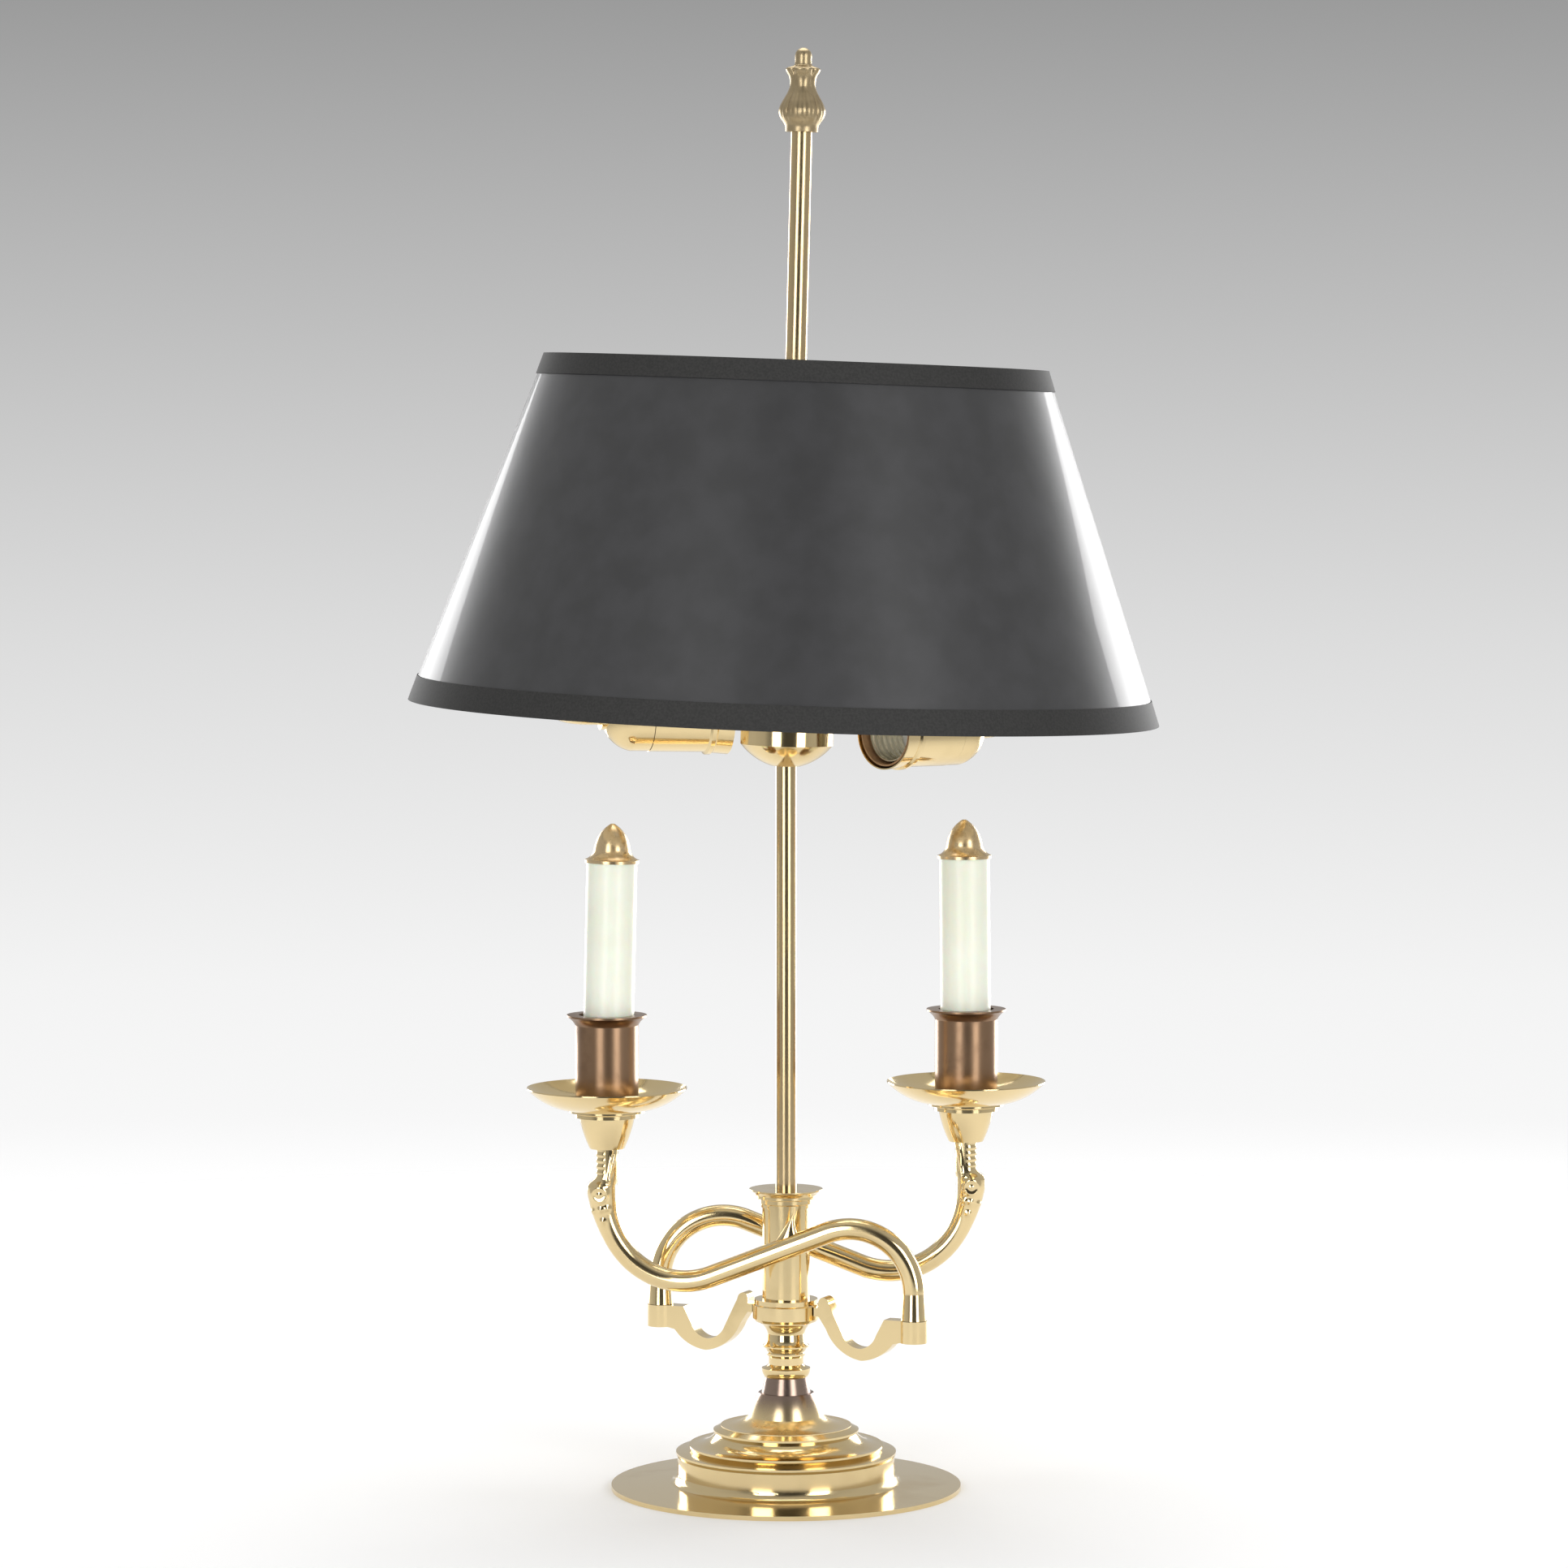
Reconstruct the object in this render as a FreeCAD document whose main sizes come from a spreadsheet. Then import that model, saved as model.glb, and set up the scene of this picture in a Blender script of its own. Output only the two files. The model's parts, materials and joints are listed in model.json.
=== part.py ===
import FreeCAD, Part
import math
import os

import Sketcher

# A two-light bouillotte lamp: a turned brass stand with two swinging candle
# arms, a socket cluster on a tall rod, and a shade that slides on that rod.
# Lengths are in millimetres and angles in degrees. Z is up, the origin is the
# middle of the base where it meets the table, and -Y is the front.

Vector = FreeCAD.Vector
SHEET = "Sizes"

DIMENSIONS = {
    # Fits
    "fit_gap": 0.05,
    "running_gap": 0.3,
    # Spun base
    "base_radius": 85.6,
    "base_wall": 1.2,
    "rim_height": 2.2,
    "flange_rise": 1.2,
    "cove_foot_radius": 56.5,
    "cove_rise": 4.0,
    "cove_round": 5.0,
    "drum_radius": 53.2,
    "drum_rise": 8.6,
    "disc_edge": 1.0,
    "disc_overhang": 1.1,
    "lower_disc_radius": 53.9,
    "lower_disc_rise": 2.4,
    "middle_disc_radius": 47.5,
    "middle_disc_rise": 3.3,
    "upper_disc_radius": 35.6,
    "upper_disc_rise": 7.5,
    "cavetto_round": 14.0,
    "crown_rise": 1.8,
    # Inside the base
    "felt_thickness": 0.9,
    "weight_foot_gap": 0.3,
    "nut_well_radius": 14.0,
    "nut_well_depth": 8.0,
    "washer_radius": 12.0,
    "washer_thickness": 1.0,
    "nut_corner_radius": 8.5,
    "nut_height": 4.5,
    "cord_channel_width": 8.0,
    "bushing_radius": 3.2,
    "bushing_bore_radius": 2.2,
    "bushing_lip": 0.9,
    "bushing_lip_length": 1.2,
    # Rods
    "rod_radius": 5.15,
    "rod_bore_radius": 3.6,
    "rod_foot_gap": 1.2,
    # Bell neck and collar band
    "bell_foot_radius": 32.0,
    "bell_top_radius": 13.5,
    "bell_foot_edge": 0.4,
    "bell_rise": 15.9,
    "bell_round": 40.0,
    "bell_waist_radius": 18.6,
    "bell_waist_rise": 4.8,
    "bell_flare_round": 16.0,
    "collar_foot_radius": 12.0,
    "collar_top_radius": 10.4,
    "collar_rise": 7.7,
    # Baluster
    "skirt_radius": 11.9,
    "skirt_rise": 3.7,
    "skirt_edge": 0.7,
    "waist_radius": 8.5,
    "waist_low_rise": 2.0,
    "waist_length": 3.4,
    "bead_foot_radius": 9.5,
    "bead_foot_rise": 1.2,
    "bead_radius": 11.3,
    "bead_foot_edge": 0.8,
    "bead_foot_gap": 0.6,
    "bead_low_radius": 9.2,
    "bead_rise": 2.6,
    "bead_edge": 0.6,
    "bead_shoulder_radius": 9.4,
    "bead_shoulder_rise": 2.6,
    "throat_radius": 9.1,
    "throat_rise": 3.2,
    "cup_rim_radius": 13.4,
    "cup_rise": 5.6,
    "cup_edge": 0.7,
    "baluster_round": 6.0,
    "cup_round": 8.0,
    # Hub ring, column and column cap
    "hub_radius": 16.3,
    "hub_foot_radius": 15.2,
    "hub_foot_rise": 1.4,
    "hub_band_rise": 6.5,
    "hub_shoulder_radius": 15.5,
    "hub_shoulder_rise": 0.6,
    "hub_top_rise": 2.3,
    "column_radius": 11.6,
    "column_wall": 1.0,
    "column_length": 46.7,
    "column_seat_depth": 1.5,
    "cap_foot_radius": 12.2,
    "cap_foot_rise": 1.6,
    "cap_step_radius": 13.3,
    "cap_step_rise": 2.4,
    "cap_ring_radius": 14.8,
    "cap_ring_rise": 1.9,
    "cap_rim_radius": 17.9,
    "cap_flare_rise": 2.4,
    "cap_edge": 0.6,
    "cap_round": 5.0,
    # Arm brackets
    "knuckle_azimuth": -23.2,
    "knuckle_reach": 67.3,
    "knuckle_radius": 6.5,
    "knuckle_height": 10.8,
    "knuckle_drop": 4.5,
    "bracket_thickness": 8.0,
    "link_low": 3.5,
    "link_high": 7.7,
    "hook_back": 18.8,
    "hook_back_top": 10.4,
    "hook_back_round": 2.9,
    "hook_crest_reach": 21.0,
    "hook_crest": 13.0,
    "hook_round": 3.4,
    "hook_front": 24.3,
    "hook_front_top": 9.8,
    "bar_outer_reach": 22.8,
    "bar_outer_level": -2.5,
    "bar_inner_reach": 31.2,
    "bar_inner_level": -4.2,
    "loop_reach": 41.3,
    "loop_low": -16.8,
    "loop_high": -10.9,
    "loop_outer_round": 23.0,
    "loop_inner_round": 10.0,
    "rise_outer_reach": 58.0,
    "rise_outer_level": -7.6,
    "rise_inner_reach": 49.0,
    "shoulder_reach": 53.3,
    "block_reach": 61.5,
    "pin_radius": 3.0,
    "pin_length": 20.0,
    # Swing arms
    "swing_gap": 0.2,
    "left_arm_turn": 15.37,
    "right_arm_turn": 21.5,
    "arm_reach": 150.5,
    "arm_stub": 12.9,
    "hump_radius": 31.0,
    "trough_radius": 37.5,
    "arm_slope": 21.5,
    "arm_neck_length": 27.1,
    "arm_foot_radius": 6.2,
    "arm_bar_radius": 5.3,
    "head_offset": 1.9,
    "head_radius": 7.2,
    "head_top_radius": 6.7,
    "head_tail_radius": 6.2,
    "head_length": 30.0,
    "head_top_gap": 15.7,
    "leaf_setback": 58.1,
    "leaf_height": 16.5,
    "leaf_width": 12.0,
    "leaf_thickness": 1.8,
    # Candle assemblies
    "cone_foot_radius": 8.5,
    "cone_top_radius": 13.5,
    "cone_rise": 15.4,
    "cone_round": 60.0,
    "dish_step_radius": 15.8,
    "dish_ring_radius": 18.7,
    "dish_step_rise": 1.7,
    "dish_ring_rise": 1.7,
    "dish_radius": 39.0,
    "dish_rise": 11.0,
    "dish_wall": 1.2,
    "dish_round": 34.0,
    "dish_floor_radius": 16.9,
    "candle_cup_radius": 15.4,
    "candle_cup_foot_radius": 16.2,
    "candle_cup_foot_rise": 2.0,
    "candle_cup_rise": 40.3,
    "candle_cup_lip_radius": 19.5,
    "candle_cup_lip_rise": 4.2,
    "candle_cup_edge": 0.9,
    "candle_cup_bore_radius": 13.6,
    "candle_cup_floor": 2.5,
    "stud_radius": 4.2,
    "stud_insertion": 5.0,
    "stud_nut_radius": 8.0,
    "stud_nut_height": 4.0,
    "stud_projection": 6.0,
    "candle_radius": 12.4,
    "candle_bore_radius": 10.2,
    "candle_length": 116.8,
    "left_candle_lean": 1.3,
    "right_candle_lean": -0.5,
    "candle_cap_radius": 13.3,
    "candle_cap_edge": 1.4,
    "candle_cap_shoulder_radius": 8.8,
    "candle_cap_shoulder_rise": 5.6,
    "candle_cap_shoulder_round": 6.5,
    "candle_cap_dome_rise": 11.9,
    "candle_cap_dome_round": 16.5,
    "candle_cap_crown_radius": 0.9,
    # Cluster on top of the lower rod, which leans from here up
    "stand_height": 354.5,
    "lean_angle": 1.4,
    "cluster_foot_radius": 7.0,
    "cluster_radius": 22.5,
    "cluster_wall": 1.6,
    "bowl_rise": 10.5,
    "bowl_round": 30.0,
    "band_rise": 27.5,
    "boss_radius": 8.6,
    "boss_height": 24.0,
    "rod_socket_depth": 8.5,
    "lid_edge": 1.5,
    "lid_rise": 4.5,
    "lid_round": 24.0,
    "lid_top_radius": 8.0,
    # Lamp sockets
    "left_socket_height": 21.0,
    "right_socket_height": 18.0,
    "socket_offset": 41.0,
    "left_socket_azimuth": 15.2,
    "right_socket_azimuth": 223.8,
    "left_mouth_setback": 19.7,
    "right_mouth_setback": 25.6,
    "socket_length": 64.0,
    "socket_cap_length": 24.0,
    "socket_cap_radius": 16.8,
    "socket_cap_nose_radius": 6.5,
    "socket_cap_nose_length": 2.5,
    "socket_cap_dome_length": 12.5,
    "socket_cap_round": 17.0,
    "socket_wall": 0.6,
    "socket_shell_radius": 17.0,
    "socket_bead_radius": 18.3,
    "socket_bead_width": 2.0,
    "socket_bead_slope": 1.0,
    "socket_skirt_length": 9.0,
    "socket_mouth_radius": 18.0,
    "socket_joint_gap": 0.3,
    "liner_wall": 0.8,
    "liner_gap": 0.1,
    "liner_setback": 0.8,
    "core_length": 10.0,
    "core_setback": 36.0,
    "core_gap": 0.2,
    "screw_shell_radius": 13.25,
    "screw_shell_wall": 0.5,
    "screw_shell_length": 22.0,
    "contact_radius": 3.0,
    "contact_depth": 1.5,
    "socket_arm_radius": 4.2,
    "socket_arm_wall": 0.8,
    "socket_arm_offset": 35.8,
    "socket_arm_climb": 10.0,
    "socket_arm_root": 19.0,
    "socket_arm_tail": 6.0,
    "socket_arm_seat": 1.0,
    "knob_stem_radius": 2.0,
    "knob_stem_length": 5.0,
    "knob_radius": 5.5,
    "knob_height": 6.5,
    # Upper rod and finial
    "upper_rod_top": 314.8,
    "finial_seat": 8.0,
    "finial_hole_depth": 9.0,
    "finial_foot_radius": 8.0,
    "finial_foot_rise": 2.6,
    "finial_groove_radius": 6.6,
    "finial_groove_rise": 1.2,
    "finial_bulb_radius": 11.3,
    "finial_bulb_rise": 6.4,
    "finial_bulb_round": 8.5,
    "finial_neck_radius": 5.9,
    "finial_neck_rise": 12.3,
    "finial_neck_round": 14.0,
    "finial_flare_radius": 8.5,
    "finial_flare_rise": 8.0,
    "finial_flare_round": 12.0,
    "finial_tip_radius": 3.9,
    "finial_tip_rise": 2.0,
    "finial_tip_length": 4.5,
    "finial_dome_rise": 3.7,
    "finial_dome_round": 3.5,
    "finial_crown_radius": 0.6,
    # Shade
    "shade_bottom_radius": 182.4,
    "shade_top_radius": 122.0,
    "shade_height": 169.5,
    "shade_clearance": 26.5,
    "shade_play": 0.7,
    "skin_thickness": 1.0,
    "trim_thickness": 0.6,
    "bottom_trim_height": 12.0,
    "top_trim_height": 10.0,
    "wire_radius": 1.5,
    "wire_inset": 3.0,
    "spider_drop": 12.0,
    "spider_width": 3.0,
    "spider_thickness": 2.4,
    "shade_hub_radius": 9.0,
    "shade_hub_height": 14.0,
    "screw_radius": 2.0,
    "screw_shank": 9.0,
    "screw_head_radius": 6.0,
    "screw_head_length": 5.0,
}

SPIDER_ARMS = 3
NUT_SIDES = 6
HALF_TURN = 180.0
FULL_TURN = 360.0
RIGHT_ANGLE = 90.0
Z_AXIS = Vector(0, 0, 1)
Y_AXIS = Vector(0, 1, 0)
TO_LEFT = 1
TO_RIGHT = -1


class Size:
    """A value together with the sheet expression that gives it."""

    def __init__(self, value, text):
        self.value = value
        self.text = text

    def __add__(self, other):
        return Size(self.value + number(other), f"({self.text} + {wording(other)})")

    def __sub__(self, other):
        return Size(self.value - number(other), f"({self.text} - {wording(other)})")

    def __mul__(self, other):
        return Size(self.value * number(other), f"({self.text} * {wording(other)})")

    def __truediv__(self, other):
        return Size(self.value / number(other), f"({self.text} / {wording(other)})")

    def __neg__(self):
        return Size(-self.value, f"(-1 * {self.text})")


def number(item):
    return item.value if isinstance(item, Size) else float(item)


def wording(item):
    return item.text if isinstance(item, Size) else repr(float(item))


def sine(angle):
    return Size(math.sin(math.radians(number(angle))), f"sin({wording(angle)} * 1 deg)")


def cosine(angle):
    return Size(math.cos(math.radians(number(angle))), f"cos({wording(angle)} * 1 deg)")


def root(item):
    return Size(math.sqrt(number(item)), f"sqrt({wording(item)})")


class SizeSheet:
    """The spreadsheet of driving dimensions; each is read as an attribute."""

    def __init__(self, document, table):
        sheet = document.addObject("Spreadsheet::Sheet", SHEET)
        for row, (name, value) in enumerate(table.items(), start=1):
            sheet.set(f"A{row}", name)
            sheet.set(f"B{row}", str(value))
            sheet.setAlias(f"B{row}", name)
            setattr(self, name, Size(value, f"{SHEET}.{name}"))


doc = FreeCAD.newDocument("BouillotteLamp")
size = SizeSheet(doc, DIMENSIONS)
doc.recompute()
pieces = []


def bind(item, path, value):
    """Tie one property of an object to its sheet expression."""
    if isinstance(value, Size):
        item.setExpression(path, value.text)


def place(item, position, axis=Z_AXIS, angle=0.0):
    """Place an object; its position and turn stay tied to the sheet."""
    spot = Vector(*[number(value) for value in position])
    item.Placement = FreeCAD.Placement(spot, FreeCAD.Rotation(axis, number(angle)))
    for name, value in zip("xyz", position):
        bind(item, f"Placement.Base.{name}", value)
    bind(item, "Placement.Rotation.Angle", angle)


def leaning(item, across=0.0, depth=0.0, height=0.0):
    """Place an object in the frame of the leaning rod, above the pivot of its lean."""
    tilt = size.lean_angle
    x = sine(tilt) * height + cosine(tilt) * across
    z = size.stand_height + cosine(tilt) * height - sine(tilt) * across
    place(item, (x, depth, z), Y_AXIS, tilt)


def keep(item, label):
    item.Label = label
    pieces.append(item)
    return item


def new_body(label):
    return keep(doc.addObject("PartDesign::Body", label), label)


def new_sketch(body, name, plane, offset=(0.0, 0.0, 0.0), turn=0.0):
    """A sketch on one of the body's origin planes, shifted and turned on that plane."""
    sketch = body.newObject("Sketcher::SketchObject", name)
    planes = [item for item in body.Origin.OriginFeatures if item.Role == plane]
    sketch.AttachmentSupport = [(planes[0], "")]
    sketch.MapMode = "FlatFace"
    spot = Vector(*[number(value) for value in offset])
    sketch.AttachmentOffset = FreeCAD.Placement(spot, FreeCAD.Rotation(Z_AXIS, number(turn)))
    for name, value in zip("xyz", offset):
        bind(sketch, f"AttachmentOffset.Base.{name}", value)
    bind(sketch, "AttachmentOffset.Rotation.Angle", turn)
    return sketch


def constrain(sketch, kind, first, second, value):
    """Add one dimension to a sketch and tie it to the sheet."""
    place_in_list = sketch.addConstraint(Sketcher.Constraint(kind, -1, 1, first, second, number(value)))
    bind(sketch, f"Constraints[{place_in_list}]", value)


def add_stretch(sketch, start, corner):
    """Add a line, or an arc of the corner's radius, from start to the corner."""
    first = Vector(number(start[0]), number(start[1]), 0)
    last = Vector(number(corner[0]), number(corner[1]), 0)
    if len(corner) == 2:
        return sketch.addGeometry(Part.LineSegment(first, last)), 1, 2
    radius, side = corner[2], corner[3]
    chord = last - first
    rise = math.sqrt(number(radius) ** 2 - (chord.Length / 2) ** 2)
    normal = Vector(-chord.y, chord.x, 0).normalize()
    centre = (first + last) * 0.5 + normal * (side * rise)
    if side == TO_RIGHT:
        first, last = last, first
    from_angle = math.atan2(first.y - centre.y, first.x - centre.x)
    to_angle = math.atan2(last.y - centre.y, last.x - centre.x)
    circle = Part.Circle(centre, Z_AXIS, number(radius))
    index = sketch.addGeometry(Part.ArcOfCircle(circle, from_angle, to_angle))
    fixed = sketch.addConstraint(Sketcher.Constraint("Radius", index, number(radius)))
    bind(sketch, f"Constraints[{fixed}]", radius)
    if side == TO_RIGHT:
        return index, 2, 1
    return index, 1, 2


def draw(sketch, corners, closed=True):
    """Draw straight and round stretches through the corners and dimension each corner."""
    starts = corners if closed else corners[:-1]
    ends = corners[1:] + corners[:1] if closed else corners[1:]
    runs = [add_stretch(sketch, start, end) for start, end in zip(starts, ends)]
    for here, after in zip(runs, runs[1:] + runs[:1] if closed else runs[1:]):
        sketch.addConstraint(Sketcher.Constraint("Coincident", here[0], here[2], after[0], after[1]))
    for corner, (index, start, end) in zip(starts, runs):
        constrain(sketch, "DistanceX", index, start, corner[0])
        constrain(sketch, "DistanceY", index, start, corner[1])
    if not closed:
        index, start, end = runs[-1]
        constrain(sketch, "DistanceX", index, end, corners[-1][0])
        constrain(sketch, "DistanceY", index, end, corners[-1][1])
    return sketch


def draw_circle(sketch, radius, across=0.0, up=0.0):
    centre = Vector(number(across), number(up), 0)
    index = sketch.addGeometry(Part.Circle(centre, Z_AXIS, number(radius)))
    constrain(sketch, "DistanceX", index, 3, across)
    constrain(sketch, "DistanceY", index, 3, up)
    fixed = sketch.addConstraint(Sketcher.Constraint("Radius", index, number(radius)))
    bind(sketch, f"Constraints[{fixed}]", radius)
    return sketch


def turned(label, corners, plane="XZ_Plane", spindle="V_Axis", offset=(0.0, 0.0, 0.0), turn=0.0):
    """A body turned about one axis of its outline sketch."""
    body = new_body(label)
    sketch = draw(new_sketch(body, f"{label}_outline", plane, offset, turn), corners)
    revolution = body.newObject("PartDesign::Revolution", f"{label}_turned")
    revolution.Profile = sketch
    revolution.ReferenceAxis = (sketch, [spindle])
    revolution.Angle = FULL_TURN
    body.Tip = revolution
    return body


def padded(body, sketch, length, middle=False, backward=False):
    """Thicken a sketch, to one side or evenly to both."""
    pad = body.newObject("PartDesign::Pad", f"{sketch.Name}_pad")
    pad.Profile = sketch
    pad.Length = number(length)
    pad.Midplane = middle
    pad.Reversed = backward
    bind(pad, "Length", length)
    body.Tip = pad
    return pad


def drilled(body, sketch, depth, backward=False, middle=False):
    """Cut a sketch into the body and check that it removed something."""
    doc.recompute()
    before = body.Shape.Volume
    pocket = body.newObject("PartDesign::Pocket", f"{sketch.Name}_cut")
    pocket.Profile = sketch
    pocket.Length = number(depth)
    pocket.Midplane = middle
    pocket.Reversed = backward
    bind(pocket, "Length", depth)
    body.Tip = pocket
    doc.recompute()
    if body.Shape.Volume >= before:
        raise RuntimeError(f"{sketch.Name} cuts nothing")
    return pocket


def tube_corners(inner, outer, bottom, top):
    return [(inner, bottom), (outer, bottom), (outer, top), (inner, top)]


rod_bore = size.rod_radius + size.fit_gap

# Heights of the stacked pieces of the stand
cove_base = size.rim_height + size.flange_rise
drum_base = cove_base + size.cove_rise
drum_top = drum_base + size.drum_rise
lower_disc_top = drum_top + size.lower_disc_rise
middle_disc_top = lower_disc_top + size.middle_disc_rise
upper_disc_top = middle_disc_top + size.upper_disc_rise
base_top = upper_disc_top + size.crown_rise
bell_top = base_top + size.bell_foot_edge + size.bell_rise
collar_top = bell_top + size.collar_rise


def base_pieces():
    wall = size.base_wall
    overhang = size.disc_overhang
    felt_radius = size.base_radius - wall - size.running_gap
    shell = turned("base_shell", [
        (size.base_radius - wall, 0.0),
        (size.base_radius, 0.0),
        (size.base_radius, size.rim_height),
        (size.cove_foot_radius, cove_base),
        (size.drum_radius, drum_base, size.cove_round, TO_RIGHT),
        (size.drum_radius, drum_top),
        (size.lower_disc_radius, lower_disc_top - size.disc_edge),
        (size.lower_disc_radius, lower_disc_top),
        (size.middle_disc_radius - overhang, lower_disc_top + size.disc_edge),
        (size.middle_disc_radius, middle_disc_top - size.disc_edge),
        (size.middle_disc_radius, middle_disc_top),
        (size.upper_disc_radius - overhang, upper_disc_top - size.disc_edge * 2, size.cavetto_round, TO_RIGHT),
        (size.upper_disc_radius, upper_disc_top - size.disc_edge),
        (size.upper_disc_radius, upper_disc_top),
        (size.bell_foot_radius, base_top),
        (rod_bore, base_top),
        (rod_bore, base_top - wall),
        (size.bell_foot_radius, base_top - wall),
        (size.upper_disc_radius - overhang - wall, upper_disc_top - wall),
        (size.upper_disc_radius - overhang - wall, middle_disc_top - wall),
        (size.middle_disc_radius - overhang - wall, middle_disc_top - wall),
        (size.middle_disc_radius - overhang - wall, drum_top - wall),
        (size.drum_radius - wall, drum_top - wall),
        (size.drum_radius - wall, cove_base - wall),
        (size.base_radius - wall, size.rim_height - wall),
    ])
    channel_height = drum_base + size.drum_rise / 2
    hole = draw_circle(new_sketch(shell, "cord_hole", "XZ_Plane"), size.bushing_radius + size.fit_gap,
                       0.0, channel_height)
    drilled(shell, hole, size.base_radius)

    turned("felt_pad", [
        (0.0, 0.0),
        (felt_radius, 0.0),
        (felt_radius, size.felt_thickness),
        (0.0, size.felt_thickness),
    ])

    weight_radius = size.drum_radius - wall - size.running_gap
    weight_foot = size.felt_thickness + size.weight_foot_gap
    weight_top = drum_top - wall - size.fit_gap
    weight_hub = rod_bore + size.fit_gap
    weight = turned("base_weight", [
        (size.nut_well_radius, weight_foot),
        (weight_radius, weight_foot),
        (weight_radius, weight_top),
        (weight_hub, weight_top),
        (weight_hub, weight_foot + size.nut_well_depth),
        (size.nut_well_radius, weight_foot + size.nut_well_depth),
    ])
    half = size.cord_channel_width / 2
    channel = draw(new_sketch(weight, "cord_channel", "XZ_Plane"), [
        (-half, weight_foot - size.running_gap),
        (half, weight_foot - size.running_gap),
        (half, channel_height + size.bushing_radius),
        (-half, channel_height + size.bushing_radius),
    ])
    drilled(weight, channel, size.base_radius)

    well_roof = weight_foot + size.nut_well_depth
    washer = turned("base_washer", tube_corners(
        rod_bore, size.washer_radius, 0.0, size.washer_thickness))
    place(washer, (0.0, 0.0, well_roof - size.washer_thickness))
    nut = hex_nut("base_lock_nut", size.nut_corner_radius, size.nut_height, rod_bore)
    place(nut, (0.0, 0.0, well_roof - size.washer_thickness - size.nut_height))

    lip_start = size.drum_radius + size.fit_gap
    bushing = turned("cord_bushing", [
        (weight_radius + size.fit_gap, size.bushing_bore_radius),
        (lip_start + size.bushing_lip_length, size.bushing_bore_radius),
        (lip_start + size.bushing_lip_length, size.bushing_radius + size.bushing_lip),
        (lip_start, size.bushing_radius + size.bushing_lip),
        (lip_start, size.bushing_radius),
        (weight_radius + size.fit_gap, size.bushing_radius),
    ], "XZ_Plane", "H_Axis")
    place(bushing, (0.0, 0.0, channel_height), Z_AXIS, RIGHT_ANGLE)


def hex_nut(label, corner_radius, height, bore):
    """A plain hexagon nut that stands on its own origin."""
    body = new_body(label)
    corners = []
    for side in range(NUT_SIDES):
        angle = FULL_TURN / NUT_SIDES * side
        corners.append((corner_radius * math.cos(math.radians(angle)),
                        corner_radius * math.sin(math.radians(angle))))
    sketch = draw(new_sketch(body, f"{label}_hexagon", "XY_Plane"), corners)
    draw_circle(sketch, bore)
    padded(body, sketch, height)
    return body


def stand_pieces():
    """The turned pieces between the base and the lower rod; gives the hub's foot height."""
    bell = turned("bell_neck", [
        (rod_bore, 0.0),
        (size.bell_foot_radius, 0.0),
        (size.bell_foot_radius, size.bell_foot_edge),
        (size.bell_waist_radius, size.bell_waist_rise, size.bell_flare_round, TO_RIGHT),
        (size.bell_top_radius, size.bell_foot_edge + size.bell_rise, size.bell_round, TO_LEFT),
        (rod_bore, size.bell_foot_edge + size.bell_rise),
    ])
    place(bell, (0.0, 0.0, base_top))
    collar = turned("collar_band", [
        (rod_bore, 0.0),
        (size.collar_foot_radius, 0.0),
        (size.collar_top_radius, size.collar_rise),
        (rod_bore, size.collar_rise),
    ])
    place(collar, (0.0, 0.0, bell_top))

    skirt_top = size.skirt_rise + size.skirt_edge
    waist_base = skirt_top + size.waist_low_rise
    waist_top = waist_base + size.waist_length
    bead_base = waist_top + size.bead_foot_rise
    bead_low = bead_base + size.bead_foot_edge + size.bead_foot_gap
    bead_rim = bead_low + size.bead_rise
    shoulder = bead_rim + size.bead_edge + size.bead_shoulder_rise
    throat = shoulder + size.throat_rise
    cup_rim = throat + size.cup_rise
    baluster_top = cup_rim + size.cup_edge
    baluster = turned("baluster", [
        (rod_bore, 0.0),
        (size.collar_top_radius, 0.0),
        (size.skirt_radius, size.skirt_rise, size.baluster_round, TO_LEFT),
        (size.skirt_radius, skirt_top),
        (size.waist_radius, waist_base, size.baluster_round, TO_RIGHT),
        (size.waist_radius, waist_top),
        (size.bead_foot_radius, bead_base),
        (size.bead_foot_radius, bead_base + size.bead_foot_edge),
        (size.bead_low_radius, bead_low),
        (size.bead_radius, bead_rim, size.baluster_round, TO_RIGHT),
        (size.bead_radius, bead_rim + size.bead_edge),
        (size.bead_shoulder_radius, shoulder, size.baluster_round, TO_RIGHT),
        (size.throat_radius, throat),
        (size.cup_rim_radius, cup_rim, size.cup_round, TO_RIGHT),
        (size.cup_rim_radius, baluster_top),
        (rod_bore, baluster_top),
    ])
    place(baluster, (0.0, 0.0, collar_top))
    return collar_top + baluster_top


hub_band_top = size.hub_foot_rise + size.hub_band_rise
hub_shoulder = hub_band_top + size.hub_shoulder_rise
hub_top = hub_shoulder + size.hub_top_rise
column_seat = hub_top - size.column_seat_depth


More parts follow.
